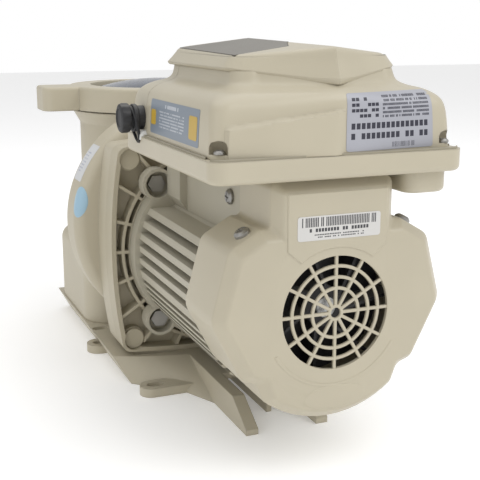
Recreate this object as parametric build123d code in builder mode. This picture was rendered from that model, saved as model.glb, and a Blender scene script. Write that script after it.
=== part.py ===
from build123d import *
from math import atan2, cos, degrees, radians, sin
import os

os.makedirs("parts", exist_ok=True)

# ---------------------------------------------------------------- driving sizes, mm
# Lengths along the shaft, from the fan end to the suction face.
tray_overhang = 10      # drive tray past the fan grille
cover_l = 66            # fan cover
motor_l = 159           # finned motor housing
flange_t = 15           # motor front flange
plate_t = 22            # seal plate
body_flange_t = 28      # rear flange of the pump body
volute_t = 55           # volute drum
discharge_in = 21       # seal plate front to the discharge port's centre
suction_reach = 46      # suction face past the strainer pot's side

# Heights and radii.
shaft_z = 127           # shaft centre above the floor
base_h = 24             # moulded base
drive_z = 102           # underside of the drive tray above the shaft
tray_h = 16.5           # drive tray wall
motor_r = 85            # tips of the motor's fins
bolt_pitch = 130.2      # square pitch of the motor flange bolts (184 mm bolt circle)
wall = 3                # plastic shells
cast_wall = 6           # motor castings
body_wall = 7           # pump body
gap = 0.4               # between pieces that move past each other
fit_gap = 0.15          # between pieces that plug together

# Pump body.
flange_half = 98        # corners of the bowed square flange
flange_bow = 107.5      # middle of its sides
volute_r = 116
volute_x = -14          # volute centre, off the shaft
volute_z = 16
pot_r = 89              # strainer pot outside
collar_flare = 8        # collar under the lid, past the pot
rim_z = 124             # pot rim above the shaft
pedestal_flare = 17     # square foot, past the pot
pedestal_top = -20
port_r = 38             # ports outside
socket_r = 30.2         # pipe socket for 60.3 mm pipe
socket_l = 38
passage_r = 25
suction_z = 40          # suction port above the shaft
discharge_z = 146       # top of the discharge port above the shaft
eye_r = 32              # passage from the pot to the impeller

# Rotor and bearings.
shaft_r = 10
nose_r = 8              # shaft nose at the impeller and fan
race_r = 23.5           # bearing outside
race_w = 14
rotor_r = 38
air_gap = 0.5
bore_r = 62             # stator bore of the motor housing
impeller_r = 55
fan_r = 58

# Drive.
tray_half = 101
tray_l = 217
keypad_half = 65
seam_y = 167            # seam of the wiring cover, from the tray's rear edge
screw_r = 2.5
head_r = 4.2

# Lid.
ring_flare = 11         # locking ring past the pot
ring_h = 25
ring_clear = 1          # between the ring and the discharge port's collar
port_collar = 3
lug_l = 34              # lugs past the ring
lug_half = 25
lid_inset = 1
dome_inset = 13

# Base.
base_half = 108
foot_half = 95
prong_in = 27
prong_out = 38
ear_t = 8.6
slot_r = 4.5
slot_l = 16
rear_ear_x = 80
rear_ear_end = 95
front_ear_x = 98.5
front_ear_end = 113

# Sizes that follow from those of the pot.
ring_r = pot_r + ring_flare
rim_r = pot_r + collar_flare
lid_r = pot_r - lid_inset
dome_r = pot_r - dome_inset
lug_reach = ring_r + lug_l
pedestal_half = pot_r + pedestal_flare

# ---------------------------------------------------------------- stations along the shaft
pot_gap = discharge_in + port_r + port_collar + ring_clear + ring_r - body_flange_t - volute_t
port_reach = pot_r + suction_reach
lengths = (tray_overhang, cover_l, motor_l, flange_t, plate_t, body_flange_t, volute_t, pot_gap, port_reach)
y_tray = -sum(lengths) / 2
y_grille = y_tray + tray_overhang
y_cover = y_grille + cover_l
y_motor = y_cover + motor_l
y_flange = y_motor + flange_t
y_plate = y_flange + plate_t
y_body = y_plate + body_flange_t
y_volute = y_body + volute_t
y_pot = y_volute + pot_gap
y_suction = y_pot + port_reach
y_discharge = y_plate + discharge_in
y_front_bearing = y_flange - race_w - 3
y_rear_bearing = y_cover + 4

z_tray = shaft_z + drive_z
z_rim = z_tray + tray_h
z_pot = shaft_z + rim_z
half_pitch = bolt_pitch / 2
bolt_spots = [(x, z) for x in (-half_pitch, half_pitch) for z in (-half_pitch, half_pitch)]


def station(y):
    """Plane square to the shaft at y: local x to the right, local y up from the shaft, facing the fan."""
    return Plane(origin=(0, y, shaft_z), x_dir=(1, 0, 0), z_dir=(0, -1, 0))


def at_pot(z):
    """Level plane centred on the strainer pot at height z above the floor."""
    return Plane(origin=(0, y_pot, z))


# ---------------------------------------------------------------- shared outlines
# Bowed square of the seal plate and the pump body's rear flange.
with BuildSketch() as flange_face:
    with BuildLine():
        a = (-flange_half, flange_half)
        b = (flange_half, flange_half)
        c = (flange_half, -flange_half)
        d = (-flange_half, -flange_half)
        ThreePointArc(a, (0, flange_bow - 3), b)
        ThreePointArc(b, (flange_bow, 0), c)
        ThreePointArc(c, (0, 4 - flange_bow), d)
        ThreePointArc(d, (-flange_bow, 0), a)
    make_face()
    fillet(flange_face.vertices(), 9)

# Fan cover: a square neck on an eight-sided body with a round belly.
neck_half = 48
neck_top = 100
belly_r = 85
belly_x = 51.5
belly_z = -((belly_r**2 - belly_x**2) ** 0.5)
with BuildSketch() as cover_face:
    with BuildLine():
        Polyline((0, neck_top), (neck_half, neck_top), (neck_half, 66), (58, 66), (82, 52), (96, 0),
                 (72, -47), (60, -51), (belly_x, belly_z))
        ThreePointArc((belly_x, belly_z), (belly_r * sin(radians(20)), -belly_r * cos(radians(20))),
                      (0, -belly_r))
        Line((0, -belly_r), (0, neck_top))
    make_face()
    mirror(about=Plane.YZ)

# ---------------------------------------------------------------- base
# Hollow moulded base: flared walls, ears with slotted holes, and two prongs under the motor.
y_foot = y_flange - 10          # rear edge of the base's foot at its corners
y_base_front = y_pot + pot_r - 9
foot_rear = [(foot_half, y_foot), (74, y_foot - 19), (53, y_foot - 41), (prong_out, y_foot - 74)]
deck_rear = [(base_half, y_foot + 18), (88, y_foot + 8), (70, y_foot + 2), (prong_out, y_foot - 5)]
with BuildPart() as base:
    for level, side, rear in ((0, foot_half, foot_rear), (base_h, base_half, deck_rear)):
        with BuildSketch(Plane.XY.offset(level)):
            with BuildLine():
                right = [(side, y_base_front)] + rear
                Polyline(*right, *[(-x, y) for x, y in reversed(right)], close=True)
            make_face()
    loft(ruled=True)
    # ears on the floor
    for ear_y, ear_end, ear_w in ((y_foot - 30, rear_ear_end, 22), (y_body + 45, front_ear_end, 25)):
        with BuildSketch():
            with Locations((0, ear_y)):
                SlotOverall(2 * ear_end, ear_w)
        extrude(amount=ear_t)
    # prongs that slope down to their tips
    with BuildSketch(Plane.YZ.offset(-prong_out)):
        with BuildLine():
            Polyline((y_foot, 0), (y_foot, base_h), (y_foot - 118, base_h), (y_foot - 149, 5),
                     (y_foot - 149, 0), close=True)
        make_face()
    extrude(amount=2 * prong_out)
    # space between the prongs, with a deck for the motor pad and a centre web
    with BuildSketch():
        with Locations((0, y_foot - 110)):
            Rectangle(2 * prong_in, 90)
    extrude(amount=base_h, mode=Mode.SUBTRACT)
    with BuildSketch():
        with Locations((0, y_foot - 40)):
            Rectangle(2 * prong_in, 64)
    extrude(amount=base_h - wall * 2, mode=Mode.SUBTRACT)
    with BuildSketch():
        with Locations((0, y_foot - 60)):
            Rectangle(5, 100)
    extrude(amount=base_h - 5)
    # hollow behind the rear wall, open right through
    with BuildSketch():
        with BuildLine():
            Polyline((foot_half - 8, y_plate + 40), (foot_half - 8, y_foot + 14), (70, y_foot + 9),
                     (-70, y_foot + 9), (8 - foot_half, y_foot + 14), (8 - foot_half, y_plate + 40),
                     close=True)
        make_face()
    extrude(amount=base_h, mode=Mode.SUBTRACT)
    # hollow under the front deck
    with BuildSketch():
        with Locations((0, (y_plate + 48 + y_base_front - 8) / 2)):
            Rectangle(2 * (foot_half - 8), y_base_front - 8 - y_plate - 48)
    extrude(amount=base_h - cast_wall, mode=Mode.SUBTRACT)
    # slotted holes in the ears
    for ear_y, ear_x in ((y_foot - 30, rear_ear_x), (y_body + 45, front_ear_x)):
        with BuildSketch():
            with Locations((-ear_x, ear_y), (ear_x, ear_y)):
                SlotOverall(slot_l, 2 * slot_r)
        extrude(amount=base_h, mode=Mode.SUBTRACT)
base.part.label = "base"
export_step(base.part, "parts/base.step")

y_pad = y_foot - 42
pad_w = 40
pad_l = 50
with BuildPart() as motor_pad:
    with BuildSketch(Plane.XY.offset(base_h)):
        with Locations((0, y_pad)):
            RectangleRounded(pad_w, pad_l, 4)
    extrude(amount=shaft_z - motor_r - 1 - base_h)
motor_pad.part.label = "motor_pad"
export_step(motor_pad.part, "parts/motor_pad.step")

# ---------------------------------------------------------------- pump body
# Volute drum, rear flange, strainer pot on a square foot, and both pipe ports in one moulding.
pedestal_z = base_h
cavity_r = 80.5          # at the flange, about the shaft
scroll_r = volute_r - 9  # inside the drum, about its own centre
scroll_rear = 10
crown_z = 112            # flat on the drum, clear of the locking ring
y_eye_wall = y_body + volute_t - 12
pot_bore = pot_r - body_wall
drain_z = 46
drain_r = 9
drain_x = -52
y_pedestal_front = y_pot + pot_r - 9
with BuildPart() as volute_drum:
    with BuildSketch(station(y_volute)):
        with Locations((volute_x, volute_z)):
            Circle(volute_r)
    extrude(amount=volute_t)
    fillet(volute_drum.edges().filter_by(GeomType.CIRCLE).sort_by(Axis.Y)[-1], 20)
    fillet(volute_drum.edges().filter_by(GeomType.CIRCLE).sort_by(Axis.Y)[0], 10)
    split(bisect_by=Plane.XY.offset(shaft_z + crown_z), keep=Keep.BOTTOM)
with BuildPart() as pot_foot:
    with BuildSketch(at_pot(pedestal_z)):
        RectangleRounded(2 * pedestal_half, 2 * (y_pedestal_front - y_pot), 30)
    extrude(amount=shaft_z + pedestal_top - pedestal_z)
    fillet(pot_foot.edges().group_by(Axis.Z)[-1], 14)
with BuildPart() as collar:
    with BuildSketch(at_pot(z_pot - 20)):
        Circle(pot_r)
    with BuildSketch(at_pot(z_pot - 6)):
        Circle(rim_r)
    loft()
with BuildPart() as pump_body:
    with BuildSketch(station(y_body)):
        add(flange_face.sketch)
    extrude(amount=body_flange_t)
    add(volute_drum.part)
    # strainer pot and its flared collar
    with BuildSketch(at_pot(pedestal_z)):
        Circle(pot_r)
    extrude(amount=z_pot - pedestal_z)
    add(collar.part)
    add(pot_foot.part)
    # neck between volute and pot
    with BuildSketch(station(y_pot)):
        with Locations((0, 5)):
            RectangleRounded(150, 150, 30)
    extrude(amount=pot_gap + 5)
    # suction port
    with BuildSketch(station(y_suction)):
        with Locations((0, suction_z)):
            Circle(port_r + 4)
    extrude(amount=socket_l)
    with BuildSketch(station(y_suction - socket_l)):
        with Locations((0, suction_z)):
            Circle(port_r)
    extrude(amount=port_reach - socket_l)
    # discharge port on a square neck
    with BuildSketch(Plane(origin=(0, y_plate + port_r - 8, shaft_z + 60))):
        Rectangle(2 * port_r, 2 * port_r - 16)
    extrude(amount=crown_z - 60)
    with BuildSketch(Plane(origin=(0, y_discharge, shaft_z + flange_bow))):
        Circle(port_r)
    extrude(amount=discharge_z - flange_bow)
    with BuildSketch(Plane(origin=(0, y_discharge, shaft_z + discharge_z - socket_l))):
        Circle(port_r + port_collar)
    extrude(amount=socket_l)
    # drain bosses
    with BuildSketch(station(y_pedestal_front + 6)):
        with Locations((drain_x, drain_z - shaft_z)):
            Circle(drain_r + 6)
    extrude(amount=20)
    with BuildSketch(Plane.YZ.offset(50)):
        with Locations((y_body + 28, drain_z + 12)):
            Circle(drain_r + 6)
    extrude(amount=55)
    # volute cavity, open at the flange
    with BuildSketch(station(y_eye_wall)):
        Circle(cavity_r)
    extrude(amount=y_eye_wall - y_plate, mode=Mode.SUBTRACT)
    with BuildSketch(station(y_eye_wall)):
        with Locations((volute_x, volute_z)):
            Circle(scroll_r)
        with Locations((0, shaft_z + 40)):
            Rectangle(4 * scroll_r, 2 * (shaft_z + 40 - crown_z + body_wall), mode=Mode.SUBTRACT)
    extrude(amount=y_eye_wall - y_body - scroll_rear, mode=Mode.SUBTRACT)
    # pot cavity
    with BuildSketch(at_pot(pedestal_z + body_wall)):
        Circle(pot_bore)
    extrude(amount=z_pot - pedestal_z, mode=Mode.SUBTRACT)
    # eye passage
    with BuildSketch(station(y_pot)):
        Circle(eye_r)
    extrude(amount=pot_gap + volute_t, mode=Mode.SUBTRACT)
    # suction bores
    with BuildSketch(station(y_suction)):
        with Locations((0, suction_z)):
            Circle(socket_r)
    extrude(amount=socket_l, mode=Mode.SUBTRACT)
    with BuildSketch(station(y_suction)):
        with Locations((0, suction_z)):
            Circle(passage_r)
    extrude(amount=port_reach, mode=Mode.SUBTRACT)
    # discharge bores
    with BuildSketch(Plane(origin=(0, y_discharge, shaft_z + discharge_z - socket_l))):
        Circle(socket_r)
    extrude(amount=socket_l, mode=Mode.SUBTRACT)
    with BuildSketch(Plane(origin=(0, y_plate + passage_r + body_wall, shaft_z + cavity_r / 2))):
        Circle(passage_r)
    extrude(amount=discharge_z - socket_l - cavity_r / 2, mode=Mode.SUBTRACT)
    # drain bores
    with BuildSketch(station(y_pedestal_front + 6)):
        with Locations((drain_x, drain_z - shaft_z)):
            Circle(drain_r)
    extrude(amount=45, mode=Mode.SUBTRACT)
    with BuildSketch(Plane.YZ.offset(105)):
        with Locations((y_body + 28, drain_z + 12)):
            Circle(drain_r)
    extrude(amount=-60, mode=Mode.SUBTRACT)
    # bolt holes for the seal plate
    with BuildSketch(station(y_body)):
        with GridLocations(2 * (flange_half - 11), 2 * (flange_half - 11), 2, 2):
            Circle(4)
    extrude(amount=body_flange_t, mode=Mode.SUBTRACT)
pump_body.part.label = "pump_body"
export_step(pump_body.part, "parts/pump_body.step")

# ---------------------------------------------------------------- drain plugs
plug_l = 16
plug_head = 4
with BuildPart() as pot_drain_plug:
    with BuildSketch(station(y_pedestal_front + 6 + plug_head)):
        with Locations((drain_x, drain_z - shaft_z)):
            RegularPolygon(drain_r + 2.5, 6)
    extrude(amount=plug_head)
    with BuildSketch(station(y_pedestal_front + 6)):
        with Locations((drain_x, drain_z - shaft_z)):
            Circle(drain_r - fit_gap)
    extrude(amount=plug_l)
pot_drain_plug.part.label = "pot_drain_plug"
export_step(pot_drain_plug.part, "parts/pot_drain_plug.step")

with BuildPart() as volute_drain_plug:
    with BuildSketch(Plane.YZ.offset(105)):
        with Locations((y_body + 28, drain_z + 12)):
            RegularPolygon(drain_r + 2.5, 6)
    extrude(amount=plug_head)
    with BuildSketch(Plane.YZ.offset(105)):
        with Locations((y_body + 28, drain_z + 12)):
            Circle(drain_r - fit_gap)
    extrude(amount=-plug_l)
volute_drain_plug.part.label = "volute_drain_plug"
export_step(volute_drain_plug.part, "parts/volute_drain_plug.step")

# ---------------------------------------------------------------- seal plate
# Ribbed plate: a solid skin towards the water, pockets and ribs towards the motor.
skin_t = 6
rib_t = 3
frame_t = 4.5
ring_ribs = (89, 96)
rib_count = 22
hub_r = 40
boss_r = 11
cap_r = 10
corner = flange_half - boss_r   # bolts through the corner bosses
seat_r = 19
shaft_clear = 12
oring_r = cavity_r + 5
oring_t = 1.5
with BuildPart() as seal_plate:
    with BuildSketch(station(y_plate)):
        add(flange_face.sketch)
    extrude(amount=skin_t)
    with BuildSketch(station(y_plate)):
        add(flange_face.sketch)
        offset(amount=-frame_t, mode=Mode.SUBTRACT)
    extrude(amount=plate_t)
    with BuildSketch(station(y_plate)):
        for ring in reversed(ring_ribs):
            Circle(ring + rib_t / 2)
            Circle(ring - rib_t / 2, mode=Mode.SUBTRACT)
        with PolarLocations((ring_ribs[0] + 120) / 2, rib_count):
            Rectangle(120 - ring_ribs[0], rib_t)
        add(flange_face.sketch, mode=Mode.INTERSECT)
    extrude(amount=plate_t - 2)
    with BuildSketch(station(y_plate)):
        with GridLocations(2 * corner, 2 * corner, 2, 2):
            Circle(boss_r)
    extrude(amount=14)
    with BuildSketch(station(y_plate)):
        with Locations(*bolt_spots):
            Circle(boss_r)
        Circle(hub_r)
    extrude(amount=plate_t)
    with BuildSketch(station(y_plate)):
        Circle(shaft_clear)
    extrude(amount=plate_t, mode=Mode.SUBTRACT)
    with BuildSketch(station(y_plate)):
        Circle(seat_r)
    extrude(amount=skin_t, mode=Mode.SUBTRACT)
    with BuildSketch(station(y_plate)):
        Circle(oring_r + oring_t)
        Circle(oring_r - oring_t, mode=Mode.SUBTRACT)
    extrude(amount=2 * oring_t, mode=Mode.SUBTRACT)
    with BuildSketch(station(y_flange)):
        with Locations(*bolt_spots):
            Circle(4.5)
    extrude(amount=-(plate_t - skin_t), mode=Mode.SUBTRACT)
    with BuildSketch(station(y_plate)):
        with GridLocations(2 * corner, 2 * corner, 2, 2):
            Circle(4.5)
    extrude(amount=14, mode=Mode.SUBTRACT)
    with BuildSketch(station(y_plate - 14)):
        with GridLocations(2 * corner, 2 * corner, 2, 2):
            Circle(cap_r + fit_gap)
    extrude(amount=plate_t, mode=Mode.SUBTRACT)
seal_plate.part.label = "seal_plate"
export_step(seal_plate.part, "parts/seal_plate.step")

with BuildPart() as seal_plate_oring:
    with BuildSketch(Plane.YZ):
        with Locations((y_plate - oring_t, shaft_z + oring_r)):
            Circle(oring_t)
    revolve(axis=Axis((0, 0, shaft_z), (0, 1, 0)))
seal_plate_oring.part.label = "seal_plate_oring"
export_step(seal_plate_oring.part, "parts/seal_plate_oring.step")

with BuildPart() as corner_bolt_caps:
    with BuildSketch(station(y_plate - 14)):
        with GridLocations(2 * corner, 2 * corner, 2, 2):
            Circle(cap_r)
    extrude(amount=4)
    with BuildSketch(station(y_plate - 14)):
        with GridLocations(2 * corner, 2 * corner, 2, 2):
            Circle(5)
    extrude(amount=2, mode=Mode.SUBTRACT)
    fillet(corner_bolt_caps.edges().group_by(Axis.Y)[0], 1.2)
corner_bolt_caps.part.label = "corner_bolt_caps"
export_step(corner_bolt_caps.part, "parts/corner_bolt_caps.step")

with BuildPart() as seal_plate_bolts:
    with BuildSketch(station(y_body - 3)):
        with GridLocations(2 * corner, 2 * corner, 2, 2):
            Circle(3.8)
    extrude(amount=body_flange_t + 12 - 1)
seal_plate_bolts.part.label = "seal_plate_bolts"
export_step(seal_plate_bolts.part, "parts/seal_plate_bolts.step")

# ---------------------------------------------------------------- shaft seal, impeller, diffuser
y_impeller = y_plate + 20       # back face of the impeller's back disc
disc_t = 3
vane_h = 11
eye_inner = 26
vane_count = 6
with BuildPart() as seal_seat:
    with BuildSketch(station(y_plate)):
        Circle(seat_r)
        Circle(nose_r + 2, mode=Mode.SUBTRACT)
    extrude(amount=skin_t)
seal_seat.part.label = "seal_seat"
export_step(seal_seat.part, "parts/seal_seat.step")

with BuildPart() as seal_head:
    with BuildSketch(station(y_plate + gap + 8)):
        Circle(17)
        Circle(nose_r, mode=Mode.SUBTRACT)
    extrude(amount=8)
    with BuildSketch(station(y_impeller)):
        Circle(14)
        Circle(nose_r, mode=Mode.SUBTRACT)
    extrude(amount=y_impeller - y_plate - gap - 8)
seal_head.part.label = "seal_head"
export_step(seal_head.part, "parts/seal_head.step")

with BuildPart() as impeller:
    with BuildSketch(station(y_impeller + disc_t)):
        Circle(impeller_r)
    extrude(amount=disc_t)
    with BuildSketch(station(y_impeller + disc_t + vane_h)):
        Circle(nose_r + 5)
        with PolarLocations(0, vane_count):
            with Locations((impeller_r * 0.62, 6)):
                Rectangle(impeller_r * 0.68, disc_t, rotation=-24)
        Circle(impeller_r, mode=Mode.INTERSECT)
    extrude(amount=vane_h)
    with BuildSketch(station(y_impeller + 2 * disc_t + vane_h)):
        Circle(impeller_r)
        Circle(eye_inner, mode=Mode.SUBTRACT)
    extrude(amount=disc_t)
    with BuildSketch(station(y_impeller + 2 * disc_t + vane_h + 8)):
        Circle(eye_inner + disc_t)
        Circle(eye_inner, mode=Mode.SUBTRACT)
    extrude(amount=8)
    with BuildSketch(station(y_impeller + disc_t + vane_h)):
        Circle(nose_r)
    extrude(amount=disc_t + vane_h, mode=Mode.SUBTRACT)
impeller.part.label = "impeller"
export_step(impeller.part, "parts/impeller.step")

with BuildPart() as impeller_screw:
    with BuildSketch(station(y_impeller + disc_t + vane_h + 5)):
        RegularPolygon(7, 6)
    extrude(amount=5)
impeller_screw.part.label = "impeller_screw"
export_step(impeller_screw.part, "parts/impeller_screw.step")

# The diffuser cups the impeller and plugs into the eye passage.
y_front_disc = y_impeller + 2 * disc_t + vane_h
diffuser_r = impeller_r + 24
with BuildPart() as diffuser:
    with BuildSketch(station(y_front_disc + 6)):
        Circle(diffuser_r)
    extrude(amount=disc_t)
    with BuildSketch(station(y_front_disc + 3)):
        with PolarLocations(0, 9):
            with Locations((impeller_r + 13, 0)):
                Rectangle(18, disc_t, rotation=-40)
    extrude(amount=y_front_disc + 3 - y_impeller)
    with BuildSketch(station(y_eye_wall + 10)):
        Circle(eye_r - fit_gap)
    extrude(amount=y_eye_wall + 10 - y_front_disc - 3)
    with BuildSketch(station(y_eye_wall + 10)):
        Circle(eye_inner + disc_t + gap)
    extrude(amount=y_eye_wall + 10 - y_front_disc - 3, mode=Mode.SUBTRACT)
diffuser.part.label = "diffuser"
export_step(diffuser.part, "parts/diffuser.step")

with BuildPart() as diffuser_oring:
    with BuildSketch(Plane.YZ):
        with Locations((y_eye_wall - 1.8, shaft_z + eye_r + 1.5)):
            Circle(1.5)
    revolve(axis=Axis((0, 0, shaft_z), (0, 1, 0)))
diffuser_oring.part.label = "diffuser_oring"
export_step(diffuser_oring.part, "parts/diffuser_oring.step")

# ---------------------------------------------------------------- strainer basket, lid, locking ring
basket_r = pot_bore - 6
basket_floor = pedestal_z + body_wall + 4
basket_top = z_pot - 6
with BuildPart() as strainer_basket:
    with BuildSketch(at_pot(basket_floor)):
        Circle(basket_r)
    extrude(amount=basket_top - basket_floor)
    with BuildSketch(at_pot(basket_floor + wall)):
        Circle(basket_r - wall)
    extrude(amount=basket_top - basket_floor, mode=Mode.SUBTRACT)
    # window facing the suction port, and slots all round
    with BuildSketch(station(y_pot + pot_r)):
        with Locations((0, suction_z)):
            Circle(passage_r + 4)
    extrude(amount=pot_r, mode=Mode.SUBTRACT)
    with BuildSketch(at_pot(basket_floor + 12)):
        with PolarLocations(basket_r, 28, start_angle=6):
            Rectangle(16, 9)
    extrude(amount=38, mode=Mode.SUBTRACT)
    with BuildSketch(at_pot(basket_floor)):
        with GridLocations(16, 16, 7, 7):
            Circle(4)
    extrude(amount=wall, mode=Mode.SUBTRACT)
    # bail across the top
    with BuildSketch(at_pot(basket_top - 8)):
        Rectangle(2 * basket_r - wall, 8)
    extrude(amount=4)
strainer_basket.part.label = "strainer_basket"
export_step(strainer_basket.part, "parts/strainer_basket.step")

lid_t = 5
dome_h = 26
dome_rise = 12
z_lid = z_pot + gap


def dome_arc(radius, apex):
    """Arc of a sphere from the rim of the lid's dome to its apex on the pot's axis."""
    sphere = (radius**2 + dome_rise**2) / (2 * dome_rise)
    middle = apex - sphere + (sphere**2 - radius**2 / 4) ** 0.5
    return ThreePointArc((radius, apex - dome_rise), (radius / 2, middle), (0, apex))


with BuildPart() as lid:
    with BuildSketch(Plane(origin=(0, y_pot, 0), x_dir=(1, 0, 0), z_dir=(0, -1, 0))):
        with BuildLine():
            Line((0, z_lid + dome_h - lid_t), (0, z_lid + dome_h))
            dome_arc(dome_r, z_lid + dome_h)
            Polyline((dome_r, z_lid + dome_h - dome_rise), (dome_r, z_lid + lid_t),
                     (lid_r, z_lid + lid_t), (lid_r, z_lid), (pot_bore - 4, z_lid),
                     (pot_bore - 4, z_lid - 4), (dome_r - lid_t, z_lid - 4),
                     (dome_r - lid_t, z_lid + dome_h - lid_t - dome_rise))
            dome_arc(dome_r - lid_t, z_lid + dome_h - lid_t)
        make_face()
    revolve(axis=Axis((0, y_pot, 0), (0, 0, 1)))
lid.part.label = "lid"
export_step(lid.part, "parts/lid.step")

with BuildPart() as lid_oring:
    with BuildSketch(Plane(origin=(0, y_pot, 0), x_dir=(1, 0, 0), z_dir=(0, -1, 0))):
        with Locations((pot_bore - 2.4, z_lid - 1.6)):
            Circle(1.5)
    revolve(axis=Axis((0, y_pot, 0), (0, 0, 1)))
lid_oring.part.label = "lid_oring"
export_step(lid_oring.part, "parts/lid_oring.step")

z_ring = z_pot - 5 + gap
with BuildPart() as locking_ring:
    with BuildSketch(at_pot(z_ring)):
        Circle(ring_r)
        with Locations((0, 0)):
            RectangleRounded(2 * lug_reach, 2 * lug_half, 10)
    extrude(amount=ring_h)
    fillet(locking_ring.edges().group_by(Axis.Z)[-1], 3)
    with BuildSketch(at_pot(z_ring)):
        Circle(pot_r + gap * 2)
    extrude(amount=z_lid + lid_t + gap - z_ring, mode=Mode.SUBTRACT)
    with BuildSketch(at_pot(z_ring)):
        Circle(dome_r + gap)
    extrude(amount=ring_h, mode=Mode.SUBTRACT)
locking_ring.part.label = "locking_ring"
export_step(locking_ring.part, "parts/locking_ring.step")

# ---------------------------------------------------------------- motor housing
# Finned casting with a square pedestal on top for the drive.
fin_pitch = 11.5
fin_t = 5.5
fin_count = 6
fin_top = 44
fine_pitch = 7.2
fine_t = 3
core_r = bore_r + cast_wall
pedestal_w = 50
front_pedestal_w = 57
front_pedestal_l = 36
with BuildPart() as motor_housing:
    with BuildSketch(station(y_motor)):
        for side in (-1, 1):
            for i in range(fin_count):
                with Locations((side * motor_r / 2, fin_top - fin_t / 2 - i * fin_pitch)):
                    Rectangle(motor_r, fin_t)
            for i in range(7):
                with Locations((side * motor_r / 2, -20 - i * fine_pitch)):
                    Rectangle(motor_r, fine_t)
        for i in range(5):
            with Locations(((i - 2) * 2 * fine_pitch, -motor_r / 2)):
                Rectangle(fine_t, motor_r)
        Circle(motor_r + 1, mode=Mode.INTERSECT)
        Circle(core_r)
        with Locations((0, -motor_r + 2)):
            Rectangle(pad_w, 6)
        with Locations((0, 47 + (drive_z - 47) / 2)):
            Rectangle(2 * pedestal_w, drive_z - 47)
    extrude(amount=motor_l)
    with BuildSketch(station(y_motor)):
        with BuildLine():
            Polyline((-front_pedestal_w, drive_z), (-front_pedestal_w, 56), (-pedestal_w, 46),
                     (pedestal_w, 46), (front_pedestal_w, 56), (front_pedestal_w, drive_z), close=True)
        make_face()
    extrude(amount=front_pedestal_l)
    with BuildSketch(station(y_motor)):
        Circle(bore_r)
    extrude(amount=motor_l, mode=Mode.SUBTRACT)
    with BuildSketch(Plane(origin=(0, (y_cover + y_motor) / 2, shaft_z))):
        Rectangle(2 * pedestal_w - 16, motor_l - 40)
    extrude(amount=drive_z, mode=Mode.SUBTRACT)
motor_housing.part.label = "motor_housing"
export_step(motor_housing.part, "parts/motor_housing.step")

# Front flange: round disc with four lugs and recessed bolts.
flange_r = 90
lug_r = 15
recess_r = 12
recess_d = 11
bolt_r = 4.2
with BuildPart() as motor_front_flange:
    with BuildSketch(station(y_flange)):
        Circle(flange_r)
        with Locations(*bolt_spots):
            Circle(lug_r)
        Circle(shaft_r + 4, mode=Mode.SUBTRACT)
    extrude(amount=flange_t)
    with BuildSketch(station(y_flange - 3)):
        Circle(race_r)
    extrude(amount=flange_t, mode=Mode.SUBTRACT)
    with BuildSketch(station(y_flange)):
        Circle(race_r + 5)
        Circle(race_r, mode=Mode.SUBTRACT)
    extrude(amount=flange_t + 6)
    with BuildSketch(station(y_flange - 3)):
        Circle(race_r + 1)
        Circle(shaft_r + 4, mode=Mode.SUBTRACT)
    extrude(amount=-3)
    with BuildSketch(station(y_flange - flange_t + recess_d)):
        with Locations(*bolt_spots):
            Circle(recess_r)
    extrude(amount=recess_d, mode=Mode.SUBTRACT)
    with BuildSketch(station(y_flange)):
        with Locations(*bolt_spots):
            Circle(bolt_r + 0.4)
    extrude(amount=flange_t, mode=Mode.SUBTRACT)
motor_front_flange.part.label = "motor_front_flange"
export_step(motor_front_flange.part, "parts/motor_front_flange.step")

with BuildPart() as motor_flange_bolts:
    with BuildSketch(station(y_flange - flange_t + recess_d)):
        with Locations(*bolt_spots):
            RegularPolygon(8.6, 6)
    extrude(amount=5.3)
    with BuildSketch(station(y_flange + 13)):
        with Locations(*bolt_spots):
            Circle(bolt_r)
    extrude(amount=13 + flange_t - recess_d)
motor_flange_bolts.part.label = "motor_flange_bolts"
export_step(motor_flange_bolts.part, "parts/motor_flange_bolts.step")

# ---------------------------------------------------------------- stator, rotor, bearings
core_l = 90
y_core = y_cover + 125          # front of the laminations
with BuildPart() as stator_core:
    with BuildSketch(station(y_core)):
        Circle(bore_r)
        Circle(rotor_r + air_gap, mode=Mode.SUBTRACT)
        with PolarLocations(rotor_r + 6, 24):
            Rectangle(8, 4, mode=Mode.SUBTRACT)
    extrude(amount=core_l)
stator_core.part.label = "stator_core"
export_step(stator_core.part, "parts/stator_core.step")

with BuildPart() as stator_windings:
    for end in (y_core + 18, y_core - core_l):
        with BuildSketch(station(end)):
            Circle(bore_r - 4)
            Circle(rotor_r + 4, mode=Mode.SUBTRACT)
        extrude(amount=18)
    fillet(stator_windings.edges().filter_by(GeomType.CIRCLE), 4)
stator_windings.part.label = "stator_windings"
export_step(stator_windings.part, "parts/stator_windings.step")

with BuildPart() as rotor_core:
    with BuildSketch(station(y_core)):
        Circle(rotor_r)
        Circle(shaft_r, mode=Mode.SUBTRACT)
    extrude(amount=core_l)
rotor_core.part.label = "rotor_core"
export_step(rotor_core.part, "parts/rotor_core.step")

y_tail = y_grille + 16
with BuildPart() as motor_shaft:
    with BuildSketch(station(y_plate - skin_t - 6)):
        Circle(shaft_r)
    extrude(amount=y_plate - skin_t - 6 - y_rear_bearing + 6)
    with BuildSketch(station(y_impeller + disc_t + vane_h)):
        Circle(nose_r)
    extrude(amount=y_impeller + disc_t + vane_h - y_tail)
motor_shaft.part.label = "motor_shaft"
export_step(motor_shaft.part, "parts/motor_shaft.step")

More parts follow.
